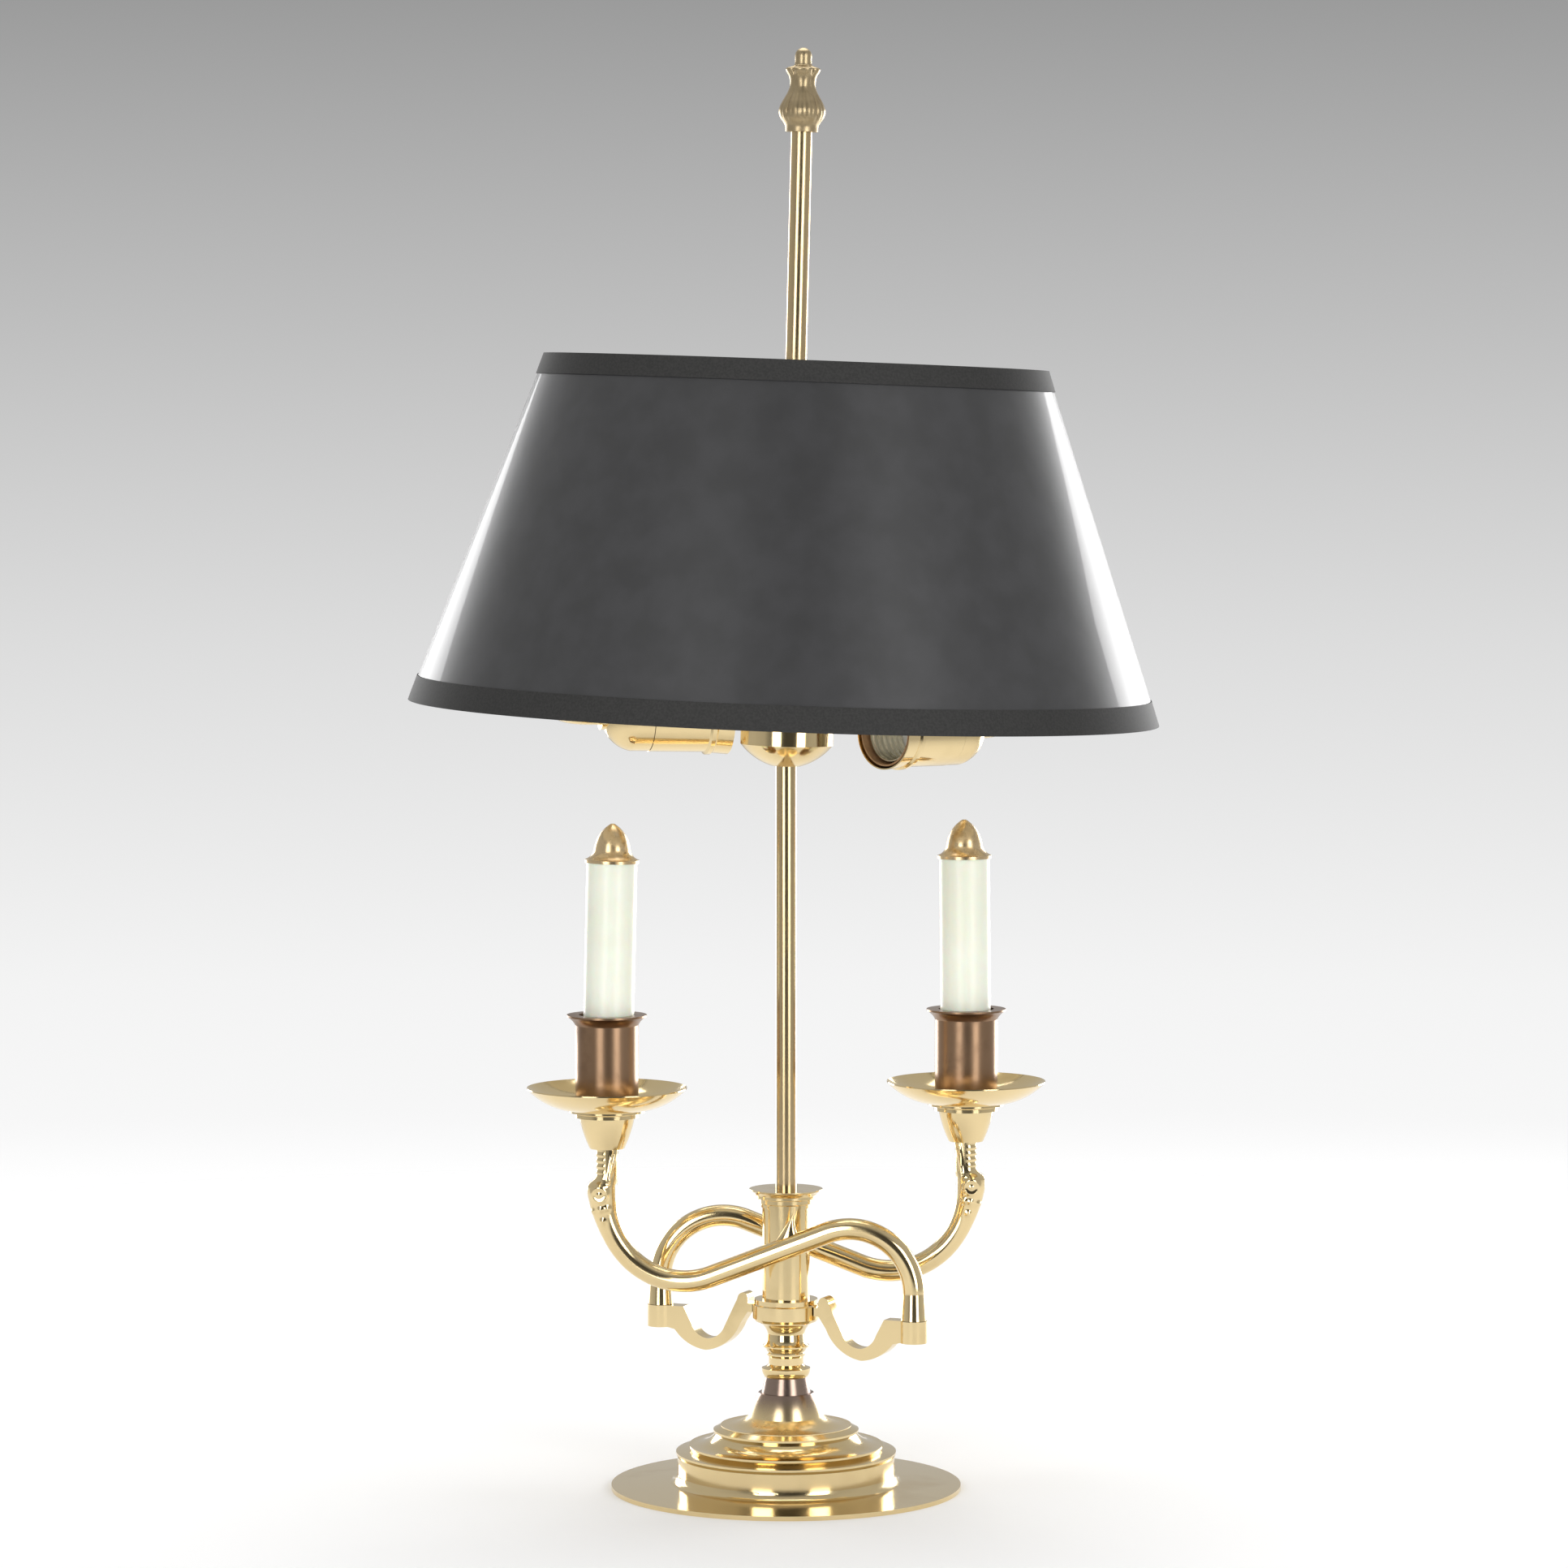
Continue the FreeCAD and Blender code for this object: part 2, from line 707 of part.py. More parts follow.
def column_pieces(hub_base):
    """Hub ring, column tube and column cap; gives the height of the cap's top."""
    seat_radius = size.column_radius + size.fit_gap
    hub = turned("hub_ring", [
        (rod_bore, 0.0),
        (size.hub_foot_radius, 0.0),
        (size.hub_radius, size.hub_foot_rise),
        (size.hub_radius, hub_band_top),
        (size.hub_shoulder_radius, hub_shoulder),
        (size.hub_shoulder_radius, hub_top),
        (seat_radius, hub_top),
        (seat_radius, column_seat),
        (rod_bore, column_seat),
    ])
    place(hub, (0.0, 0.0, hub_base))
    column = turned("column_tube", tube_corners(
        size.column_radius - size.column_wall, size.column_radius, 0.0, size.column_length))
    place(column, (0.0, 0.0, hub_base + column_seat))

    step_base = size.cap_foot_rise
    ring_base = step_base + size.cap_step_rise
    ring_top = ring_base + size.cap_ring_rise
    rim_base = ring_top + size.cap_flare_rise
    cap_top = rim_base + size.cap_edge
    cap = turned("column_cap", [
        (rod_bore, 0.0),
        (size.cap_foot_radius, 0.0),
        (size.cap_foot_radius, step_base),
        (size.cap_step_radius, step_base + size.cap_edge),
        (size.cap_step_radius, ring_base),
        (size.cap_ring_radius, ring_base + size.cap_edge),
        (size.cap_ring_radius, ring_top),
        (size.cap_rim_radius, rim_base, size.cap_round, TO_RIGHT),
        (size.cap_rim_radius, cap_top),
        (rod_bore, cap_top),
    ])
    place(cap, (0.0, 0.0, hub_base + column_seat + size.column_length))


def lower_rod_piece():
    foot = size.felt_thickness + size.rod_foot_gap
    top = size.stand_height + size.rod_socket_depth - size.running_gap
    turned("lower_rod", tube_corners(size.rod_bore_radius, size.rod_radius, foot, top))


def bracket_piece(label, hub_base, azimuth):
    """The flat cast bar that loops down and out from the hub ring to a knuckle."""
    body = new_body(label)
    top = hub_shoulder - size.knuckle_drop
    block_end = size.knuckle_reach - size.knuckle_radius / 2
    block_bottom = top - size.knuckle_height
    lug_start = size.hub_radius + size.fit_gap
    outer = size.loop_outer_round
    inner = size.loop_inner_round
    bar = draw(new_sketch(body, f"{label}_bar", "XZ_Plane"), [
        (lug_start, size.link_low),
        (size.hook_back, size.link_low),
        (size.bar_outer_reach, size.bar_outer_level),
        (size.loop_reach, size.loop_low, outer, TO_LEFT),
        (size.rise_outer_reach, size.rise_outer_level, outer, TO_LEFT),
        (size.block_reach, block_bottom),
        (block_end, block_bottom),
        (block_end, top),
        (size.shoulder_reach, top),
        (size.rise_inner_reach, size.bar_inner_level),
        (size.loop_reach, size.loop_high, inner, TO_RIGHT),
        (size.bar_inner_reach, size.bar_inner_level, inner, TO_RIGHT),
        (size.hook_front, size.hook_front_top),
        (size.hook_crest_reach, size.hook_crest, size.hook_round, TO_LEFT),
        (size.hook_back, size.hook_back_top, size.hook_back_round, TO_LEFT),
        (size.hook_back, size.link_high),
        (lug_start, size.link_high),
    ])
    padded(body, bar, size.bracket_thickness, middle=True)
    block = draw_circle(new_sketch(body, f"{label}_knuckle", "XY_Plane", (0.0, 0.0, block_bottom)),
                        size.knuckle_radius, size.knuckle_reach)
    padded(body, block, size.knuckle_height)
    hole = draw_circle(new_sketch(body, f"{label}_hole", "XY_Plane", (0.0, 0.0, top)),
                       size.pin_radius + size.fit_gap, size.knuckle_reach)
    drilled(body, hole, size.knuckle_height)
    place(body, (0.0, 0.0, hub_base), Z_AXIS, azimuth)
    return body


def pivot_pin(label, hub_base, azimuth):
    """The upright pin on which an arm swings."""
    pin = turned(label, tube_corners(0.0, size.pin_radius, 0.0, size.pin_length))
    base = hub_base + hub_shoulder - size.knuckle_drop - size.knuckle_height
    spot = knuckle_spot(azimuth)
    place(pin, (spot[0], spot[1], base))


def knuckle_spot(azimuth):
    return cosine(azimuth) * size.knuckle_reach, sine(azimuth) * size.knuckle_reach


def candle_spot(azimuth, turn):
    x, y = knuckle_spot(azimuth)
    heading = azimuth + HALF_TURN + turn
    return x + cosine(heading) * size.arm_reach, y + sine(heading) * size.arm_reach


slope_sine = sine(size.arm_slope)
slope_cosine = cosine(size.arm_slope)
arm_run = (size.arm_reach - (size.hump_radius + size.trough_radius) * (slope_sine + 1.0)) / slope_cosine
hump_centre = size.arm_stub
trough_centre = (hump_centre + size.hump_radius * slope_cosine - arm_run * slope_sine
                 + size.trough_radius * slope_cosine)
arm_top = trough_centre + size.arm_neck_length


def swing_arm(label, hub_base, azimuth, turn):
    """The S-shaped arm: up from the knuckle, over a hump, down a slope and up to its candle."""
    body = new_body(label)
    hump = size.hump_radius
    trough = size.trough_radius
    reach = size.arm_reach
    route = draw(new_sketch(body, f"{label}_route", "XZ_Plane"), [
        (0.0, 0.0),
        (0.0, hump_centre),
        (hump, hump_centre + hump, hump, TO_RIGHT),
        (hump + hump * slope_sine, hump_centre + hump * slope_cosine, hump, TO_RIGHT),
        (reach - trough - trough * slope_sine, trough_centre - trough * slope_cosine),
        (reach - trough, trough_centre - trough, trough, TO_LEFT),
        (reach, trough_centre, trough, TO_LEFT),
        (reach, arm_top),
    ], closed=False)
    foot = draw_circle(new_sketch(body, f"{label}_section", "XY_Plane"), size.arm_bar_radius)
    pipe = body.newObject("PartDesign::AdditivePipe", f"{label}_bar")
    pipe.Profile = foot
    pipe.Spine = route
    pipe.Mode = "Standard"
    body.Tip = pipe
    doc.recompute()
    arm_foot(body, label)
    arm_head(body, label)
    arm_leaf(body, label)
    hole = draw_circle(new_sketch(body, f"{label}_pin_hole", "XY_Plane"),
                       size.pin_radius + size.fit_gap)
    drilled(body, hole, size.pin_length - size.knuckle_height + size.running_gap, backward=True)
    spot = knuckle_spot(azimuth)
    base = hub_base + hub_shoulder - size.knuckle_drop + size.swing_gap
    place(body, (spot[0], spot[1], base), Z_AXIS, azimuth + HALF_TURN + turn)
    return body


def arm_foot(body, label):
    """The lower end of the arm, thicker where it stands on the knuckle."""
    outline = draw(new_sketch(body, f"{label}_foot_outline", "XZ_Plane"), [
        (0.0, 0.0),
        (size.arm_foot_radius, 0.0),
        (size.arm_bar_radius, size.arm_stub),
        (0.0, size.arm_stub),
    ])
    foot = body.newObject("PartDesign::Revolution", f"{label}_foot")
    foot.Profile = outline
    foot.ReferenceAxis = (outline, ["V_Axis"])
    foot.Angle = FULL_TURN
    body.Tip = foot
    doc.recompute()


def arm_head(body, label):
    """The swelling of the animal head under the candle, lofted through round sections."""
    reach = size.arm_reach
    top = arm_top - size.head_top_gap
    third = size.head_length / 3
    sections = (
        (top, reach + size.head_offset, size.head_top_radius),
        (top - third, reach + size.head_offset, size.head_radius),
        (top - third * 2, reach + size.head_offset / 2, size.head_radius),
        (top - size.head_length, reach - size.head_offset * 2, size.head_tail_radius),
    )
    circles = []
    for index, (height, across, radius) in enumerate(sections):
        sketch = new_sketch(body, f"{label}_head_{index}", "XY_Plane", (0.0, 0.0, height))
        circles.append(draw_circle(sketch, radius, across))
    loft = body.newObject("PartDesign::AdditiveLoft", f"{label}_head")
    loft.Profile = circles[0]
    loft.Sections = circles[1:]
    body.Tip = loft
    doc.recompute()


def arm_leaf(body, label):
    """The small upright leaf that sprouts from the arm where it passes the column."""
    foot = hump_centre + size.hump_radius * slope_cosine - size.arm_bar_radius
    start = size.leaf_setback - size.leaf_width / 4
    tip = hump_centre + size.hump_radius + size.leaf_height - size.arm_foot_radius
    leaf = draw(new_sketch(body, f"{label}_leaf", "XZ_Plane"), [
        (start, foot),
        (start + size.leaf_width, foot - size.leaf_width * slope_sine),
        (size.leaf_setback, tip),
    ])
    padded(body, leaf, size.leaf_thickness, middle=True)
    doc.recompute()


def candle_pieces(side, hub_base, azimuth, turn, lean):
    """Everything that stands on the end of one arm."""
    x, y = candle_spot(azimuth, turn)
    seat = hub_base + hub_shoulder - size.knuckle_drop + size.swing_gap + arm_top
    stud_bore = size.stud_radius + size.fit_gap
    cone = turned(f"{side}_candle_cone", [
        (stud_bore, 0.0),
        (size.cone_foot_radius, 0.0),
        (size.cone_top_radius, size.cone_rise, size.cone_round, TO_LEFT),
        (stud_bore, size.cone_rise),
    ])
    place(cone, (x, y, seat))

    step_top = size.dish_step_rise
    ring_top = step_top + size.dish_ring_rise
    floor_top = ring_top + size.dish_wall
    rim = ring_top + size.dish_rise
    dish = turned(f"{side}_drip_dish", [
        (stud_bore, 0.0),
        (size.dish_step_radius, 0.0),
        (size.dish_step_radius, step_top),
        (size.dish_ring_radius, step_top + size.dish_ring_rise / 2),
        (size.dish_ring_radius, ring_top),
        (size.dish_radius, rim - size.dish_wall / 2, size.dish_round, TO_LEFT),
        (size.dish_radius, rim),
        (size.dish_floor_radius, floor_top, size.dish_round, TO_RIGHT),
        (stud_bore, floor_top),
    ])
    place(dish, (x, y, seat + size.cone_rise))

    cup_foot = seat + size.cone_rise + floor_top
    lip_base = size.candle_cup_rise
    lip_top = lip_base + size.candle_cup_lip_rise
    cup = turned(f"{side}_candle_cup", [
        (stud_bore, 0.0),
        (size.candle_cup_foot_radius, 0.0),
        (size.candle_cup_foot_radius, size.candle_cup_edge),
        (size.candle_cup_radius, size.candle_cup_foot_rise),
        (size.candle_cup_radius, lip_base),
        (size.candle_cup_lip_radius, lip_top, size.candle_cup_lip_rise * 2, TO_RIGHT),
        (size.candle_cup_lip_radius, lip_top + size.candle_cup_edge),
        (size.candle_cup_bore_radius, lip_top + size.candle_cup_edge),
        (size.candle_cup_bore_radius, size.candle_cup_floor),
        (stud_bore, size.candle_cup_floor),
    ])
    place(cup, (x, y, cup_foot))

    stud_base = seat - size.stud_insertion
    stud_length = (size.stud_insertion + size.cone_rise + floor_top + size.candle_cup_floor
                   + size.stud_projection)
    stud = turned(f"{side}_candle_stud", tube_corners(0.0, size.stud_radius, 0.0, stud_length))
    place(stud, (x, y, stud_base))
    nut = hex_nut(f"{side}_candle_nut", size.stud_nut_radius, size.stud_nut_height, stud_bore)
    place(nut, (x, y, cup_foot + size.candle_cup_floor))

    foot_gap = size.running_gap
    sleeve = turned(f"{side}_candle_sleeve", tube_corners(
        size.candle_bore_radius, size.candle_radius, 0.0, size.candle_length))
    sleeve_foot = cup_foot + size.candle_cup_floor + foot_gap
    place(sleeve, (x, y, sleeve_foot), Y_AXIS, lean)
    shoulder = size.candle_cap_edge + size.candle_cap_shoulder_rise
    top = shoulder + size.candle_cap_dome_rise
    cap = turned(f"{side}_candle_cap", [
        (0.0, 0.0),
        (size.candle_cap_radius, 0.0),
        (size.candle_cap_radius, size.candle_cap_edge),
        (size.candle_cap_shoulder_radius, shoulder, size.candle_cap_shoulder_round, TO_RIGHT),
        (size.candle_cap_crown_radius, top, size.candle_cap_dome_round, TO_LEFT),
        (0.0, top),
    ])
    reach = size.candle_length + size.fit_gap
    place(cap, (x + sine(lean) * reach, y, sleeve_foot + cosine(lean) * reach), Y_AXIS, lean)


def cluster_pieces():
    """The bowl that holds both socket arms, and its lid."""
    wall = size.cluster_wall
    band_top = size.bowl_rise + size.band_rise
    wide_bore = rod_bore + size.running_gap
    body = turned("cluster_body", [
        (wide_bore, 0.0),
        (size.cluster_foot_radius, 0.0),
        (size.cluster_radius, size.bowl_rise, size.bowl_round, TO_LEFT),
        (size.cluster_radius, band_top),
        (size.cluster_radius - wall, band_top),
        (size.cluster_radius - wall, size.bowl_rise + wall),
        (size.boss_radius, wall * 2, size.bowl_round, TO_RIGHT),
        (size.boss_radius, size.boss_height),
        (rod_bore, size.boss_height),
        (rod_bore, size.rod_socket_depth),
        (wide_bore, size.rod_socket_depth),
    ])
    leaning(body)
    lid = turned("cluster_lid", [
        (rod_bore, 0.0),
        (size.cluster_radius, 0.0),
        (size.cluster_radius, size.lid_edge),
        (size.lid_top_radius, size.lid_edge + size.lid_rise, size.lid_round, TO_LEFT),
        (rod_bore, size.lid_edge + size.lid_rise),
    ])
    leaning(lid, height=band_top)


def socket_pieces(side, azimuth, setback, level):
    """One horizontal lamp socket; its outlines run along the socket from cap to mouth."""
    start = -setback - size.socket_length
    offset = (
        cosine(azimuth) * start - sine(azimuth) * size.socket_offset,
        sine(azimuth) * start + cosine(azimuth) * size.socket_offset,
        level,
    )

    def socket_part(name, corners):
        part = turned(f"{side}_{name}", corners, "XY_Plane", "H_Axis", offset, azimuth)
        leaning(part)
        return part

    wall = size.socket_wall
    nose = size.socket_cap_nose_length
    dome_end = nose + size.socket_cap_dome_length
    hole = size.socket_arm_radius + size.fit_gap
    cap_end = size.socket_cap_length
    socket_part("socket_cap", [
        (0.0, hole),
        (0.0, size.socket_cap_nose_radius),
        (nose, size.socket_cap_nose_radius),
        (dome_end, size.socket_cap_radius, size.socket_cap_round, TO_RIGHT),
        (cap_end, size.socket_cap_radius),
        (cap_end, size.socket_cap_radius - wall),
        (dome_end + wall, size.socket_cap_radius - wall),
        (nose + wall * 2, size.socket_cap_nose_radius - wall, size.socket_cap_round, TO_LEFT),
        (nose + wall * 2, hole),
    ])
    body_start = cap_end + size.socket_joint_gap
    mouth = size.socket_length
    bead_end = mouth - size.socket_skirt_length
    bead_start = bead_end - size.socket_bead_width
    slope = size.socket_bead_slope
    shell = size.socket_shell_radius
    socket_part("socket_shell", [
        (body_start, shell - wall),
        (body_start, shell),
        (bead_start - slope, shell),
        (bead_start, size.socket_bead_radius),
        (bead_end, size.socket_bead_radius),
        (bead_end + slope, size.socket_mouth_radius - wall),
        (mouth, size.socket_mouth_radius),
        (mouth, size.socket_mouth_radius - wall),
        (bead_end + slope, shell - wall / 2),
        (bead_end, size.socket_bead_radius - wall),
        (bead_start, size.socket_bead_radius - wall),
        (bead_start - slope, shell - wall),
    ])
    liner_outer = shell - wall - size.liner_gap
    liner_inner = liner_outer - size.liner_wall
    socket_part("socket_liner", [
        (body_start, liner_inner),
        (body_start, liner_outer),
        (mouth - size.liner_setback, liner_outer),
        (mouth - size.liner_setback, liner_inner),
    ])
    core_end = mouth - size.core_setback + size.core_length
    core_radius = liner_inner - size.core_gap
    socket_part("socket_core", [
        (core_end - size.core_length, 0.0),
        (core_end - size.core_length, core_radius),
        (core_end, core_radius),
        (core_end, size.contact_radius),
        (core_end - size.contact_depth, size.contact_radius),
        (core_end - size.contact_depth, 0.0),
    ])
    screw_inner = size.screw_shell_radius
    socket_part("screw_shell", [
        (core_end, screw_inner),
        (core_end, screw_inner + size.screw_shell_wall),
        (core_end + size.screw_shell_length, screw_inner + size.screw_shell_wall),
        (core_end + size.screw_shell_length, screw_inner),
    ])
    knob_at = start + core_end - size.core_length / 2
    across = cosine(azimuth) * knob_at - sine(azimuth) * size.socket_offset
    depth = sine(azimuth) * knob_at + cosine(azimuth) * size.socket_offset
    stem = size.knob_stem_length
    knob_top = stem + size.knob_height
    knob = turned(f"{side}_switch_knob", [
        (0.0, 0.0),
        (size.knob_stem_radius, 0.0),
        (size.knob_stem_radius, stem),
        (size.knob_radius, stem + size.knob_stem_radius / 2),
        (size.knob_radius, knob_top - size.knob_stem_radius / 2),
        (size.knob_stem_radius, knob_top),
        (0.0, knob_top),
    ])
    leaning(knob, across, depth, level + shell + size.running_gap)
    socket_arm(side, azimuth, setback, level)


def socket_arm(side, azimuth, setback, level):
    """The bent tube from the cluster body round into the back of one socket cap."""
    item = doc.addObject("Part::Feature", f"{side}_socket_arm")
    climb = math.degrees(math.atan2(number(size.socket_arm_climb), number(size.socket_arm_offset)))
    gap = math.hypot(number(size.socket_arm_climb), number(size.socket_arm_offset))
    line_offset = number(size.socket_offset) - number(size.socket_arm_offset)
    root_run = math.sqrt(number(size.socket_arm_root) ** 2 - line_offset ** 2)
    cap_back = number(setback) + number(size.socket_length)
    bend_at = cap_back + number(size.socket_arm_tail)
    cap_entry = cap_back - number(size.socket_arm_seat)
    start = Vector(-root_run, gap, 0)
    bend_start = Vector(-bend_at, gap, 0)
    bend_middle = Vector(-bend_at - gap / 2, gap / 2, 0)
    bend_end = Vector(-bend_at, 0, 0)
    finish = Vector(-cap_entry, 0, 0)
    edges = [
        Part.LineSegment(start, bend_start).toShape(),
        Part.Arc(bend_start, bend_middle, bend_end).toShape(),
        Part.LineSegment(bend_end, finish).toShape(),
    ]
    route = Part.Wire(edges)
    solids = []
    for radius in (number(size.socket_arm_radius), number(size.socket_arm_radius - size.socket_arm_wall)):
        ring = Part.Wire([Part.makeCircle(radius, start, Vector(1, 0, 0))])
        solids.append(route.makePipeShell([ring], True, False))
    item.Shape = solids[0].cut(solids[1])
    flat = FreeCAD.Placement(
        Vector(0, number(size.socket_offset), number(level)),
        FreeCAD.Rotation(Vector(1, 0, 0), HALF_TURN - climb))
    about = FreeCAD.Placement(Vector(), FreeCAD.Rotation(Z_AXIS, number(azimuth)))
    lean = FreeCAD.Placement(
        Vector(0, 0, number(size.stand_height)),
        FreeCAD.Rotation(Y_AXIS, number(size.lean_angle)))
    item.Placement = lean.multiply(about).multiply(flat)
    keep(item, f"{side}_socket_arm")


def top_pieces():
    """The upper rod and the finial screwed on its top."""
    rod = turned("upper_rod", tube_corners(
        size.rod_bore_radius, size.rod_radius, size.rod_socket_depth + size.running_gap, size.upper_rod_top))
    leaning(rod)
    groove = size.finial_foot_rise + size.finial_groove_rise
    bulb = groove + size.finial_bulb_rise
    neck = bulb + size.finial_neck_rise
    flare = neck + size.finial_flare_rise
    tip = flare + size.finial_tip_rise
    tip_top = tip + size.finial_tip_length
    finial = turned("finial", [
        (rod_bore, 0.0),
        (size.finial_foot_radius, 0.0),
        (size.finial_foot_radius, size.finial_foot_rise),
        (size.finial_groove_radius, groove),
        (size.finial_bulb_radius, bulb, size.finial_bulb_round, TO_LEFT),
        (size.finial_neck_radius, neck, size.finial_neck_round, TO_LEFT),
        (size.finial_flare_radius, flare, size.finial_flare_round, TO_RIGHT),
        (size.finial_tip_radius, tip),
        (size.finial_tip_radius, tip_top),
        (size.finial_crown_radius, tip_top + size.finial_dome_rise, size.finial_dome_round, TO_LEFT),
        (0.0, tip_top + size.finial_dome_rise),
        (0.0, size.finial_hole_depth),
        (rod_bore, size.finial_hole_depth),
    ])
    leaning(finial, height=size.upper_rod_top - size.finial_seat)


def shade_pieces():
    """The tapering shade, its wire rings, its spider and the hub that slides on the rod."""
    height = size.shade_height
    slope = (size.shade_bottom_radius - size.shade_top_radius) / height
    slant = root(slope * slope + 1.0)
    trim = size.trim_thickness
    gap = size.fit_gap
    outer_low = size.shade_bottom_radius - trim - gap
    outer_high = size.shade_top_radius - trim - gap
    skin = size.skin_thickness
    foot = trim + gap
    top = height - trim - gap

    hub_top_level = height - size.spider_drop
    hub_low = hub_top_level - size.shade_hub_height
    hub_middle = (hub_top_level + hub_low) / 2
    shade_lean = size.lean_angle + size.shade_play

    def shade_point(level):
        """A point on the shade's own axis, which crosses the rod at the hub."""
        hub_height = size.shade_clearance + hub_middle
        above = -(hub_middle - level)
        x = sine(size.lean_angle) * hub_height + sine(shade_lean) * above
        z = size.stand_height + cosine(size.lean_angle) * hub_height + cosine(shade_lean) * above
        return x, 0.0, z

    def shade_place(part, level=0.0):
        place(part, shade_point(level), Y_AXIS, shade_lean)

    def shade_part(name, corners):
        part = turned(name, corners)
        shade_place(part)
        return part

    def outer_at(level):
        return outer_low - slope * (level - foot)

    shade_part("shade_skin", [
        (outer_at(foot) - skin, foot),
        (outer_at(foot), foot),
        (outer_at(top), top),
        (outer_at(top) - skin, top),
    ])
    band = size.bottom_trim_height
    shade_part("bottom_trim", [
        (outer_at(foot) - skin, 0.0),
        (outer_at(foot) + gap + trim, 0.0),
        (outer_at(band) + gap + trim, band),
        (outer_at(band) + gap, band),
        (outer_at(foot) + gap, trim),
        (outer_at(foot) - skin, trim),
    ])
    low = height - size.top_trim_height
    shade_part("top_trim", [
        (outer_at(low) + gap, low),
        (outer_at(low) + gap + trim, low),
        (outer_at(top) + gap + trim, height),
        (outer_at(top) - skin, height),
        (outer_at(top) - skin, height - trim),
        (outer_at(top) + gap, height - trim),
    ])
    inset = size.wire_inset

    def ring_radius(level):
        return outer_at(level) - skin - size.wire_radius * slant - gap

    for name, level in (("bottom_wire_ring", inset), ("top_wire_ring", height - inset)):
        ring = keep(doc.addObject("Part::Torus", name), name)
        ring.Radius1 = number(ring_radius(level))
        ring.Radius2 = number(size.wire_radius)
        bind(ring, "Radius1", ring_radius(level))
        bind(ring, "Radius2", size.wire_radius)
        shade_place(ring, level)

    hub_bore = rod_bore + size.running_gap
    hub = shade_part("shade_hub", tube_corners(hub_bore, size.shade_hub_radius, hub_low, hub_top_level))
    hole = draw_circle(new_sketch(hub, "thumb_screw_hole", "XZ_Plane"), size.screw_radius + gap,
                       0.0, hub_middle)
    drilled(hub, hole, size.shade_hub_radius * 2)

    spider = new_body("shade_spider")
    ring_level = height - inset
    ring_end = ring_radius(ring_level) - size.wire_radius - gap
    leg_low = hub_top_level - size.spider_thickness * 2
    leg = draw(new_sketch(spider, "spider_leg", "XZ_Plane"), [
        (size.shade_hub_radius, leg_low),
        (size.shade_hub_radius * 2, leg_low),
        (ring_end, ring_level - size.spider_thickness / 2),
        (ring_end, ring_level + size.spider_thickness / 2),
        (size.shade_hub_radius * 2, leg_low + size.spider_thickness),
        (size.shade_hub_radius, leg_low + size.spider_thickness),
    ])
    pad = padded(spider, leg, size.spider_width, middle=True)
    doc.recompute()
    pattern = spider.newObject("PartDesign::PolarPattern", "spider_legs")
    pattern.Originals = [pad]
    pattern.Axis = (leg, ["V_Axis"])
    pattern.Angle = FULL_TURN
    pattern.Occurrences = SPIDER_ARMS
    spider.Tip = pattern
    shade_place(spider)

    screw_start = size.rod_radius + size.running_gap * 2
    screw_end = screw_start + size.screw_shank
    head_end = screw_end + size.screw_head_length
    screw = turned("shade_thumb_screw", [
        (screw_start, 0.0),
        (screw_end, 0.0),
        (head_end, 0.0),
        (head_end, size.screw_head_radius),
        (screw_end, size.screw_head_radius),
        (screw_end, size.screw_radius),
        (screw_start, size.screw_radius),
    ], "YZ_Plane", "H_Axis", (0.0, hub_middle, 0.0))
    shade_place(screw)


def check_document():
    """Stop if any object failed or any piece has no sound shape."""
    for item in doc.Objects:
        if "Invalid" in item.State or "Error" in item.State:
            raise RuntimeError(f"{item.Label} failed: {item.State}")
    for item in pieces:
        if item.Shape.isNull() or not item.Shape.isValid():
            raise RuntimeError(f"{item.Label} has no sound shape")


def main():
    base_pieces()
    hub_base = stand_pieces()
    column_pieces(hub_base)
    lower_rod_piece()
    arms = (
        ("left", size.knuckle_azimuth, size.left_arm_turn, size.left_candle_lean),
        ("right", size.knuckle_azimuth + HALF_TURN, size.right_arm_turn, size.right_candle_lean),
    )
    for side, azimuth, turn, lean in arms:
        bracket_piece(f"{side}_arm_bracket", hub_base, azimuth)
        pivot_pin(f"{side}_arm_pivot_pin", hub_base, azimuth)
        swing_arm(f"{side}_arm", hub_base, azimuth, turn)
        candle_pieces(side, hub_base, azimuth, turn, lean)
    cluster_pieces()
    socket_pieces("left", size.left_socket_azimuth, size.left_mouth_setback, size.left_socket_height)
    socket_pieces("right", size.right_socket_azimuth, size.right_mouth_setback, size.right_socket_height)
    top_pieces()
    shade_pieces()
    doc.recompute()
    check_document()
    os.makedirs("parts", exist_ok=True)
    for item in pieces:
        item.Shape.exportStep(f"parts/{item.Label}.step")
        print(item.Label, len(item.Shape.Solids), round(item.Shape.Volume, 1))
    x, y = knuckle_spot(size.knuckle_azimuth)
    print("left arm pivot", round(number(x), 3), round(number(y), 3))


main()
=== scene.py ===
import json
import math

import bmesh
import bpy
from mathutils import Matrix, Vector


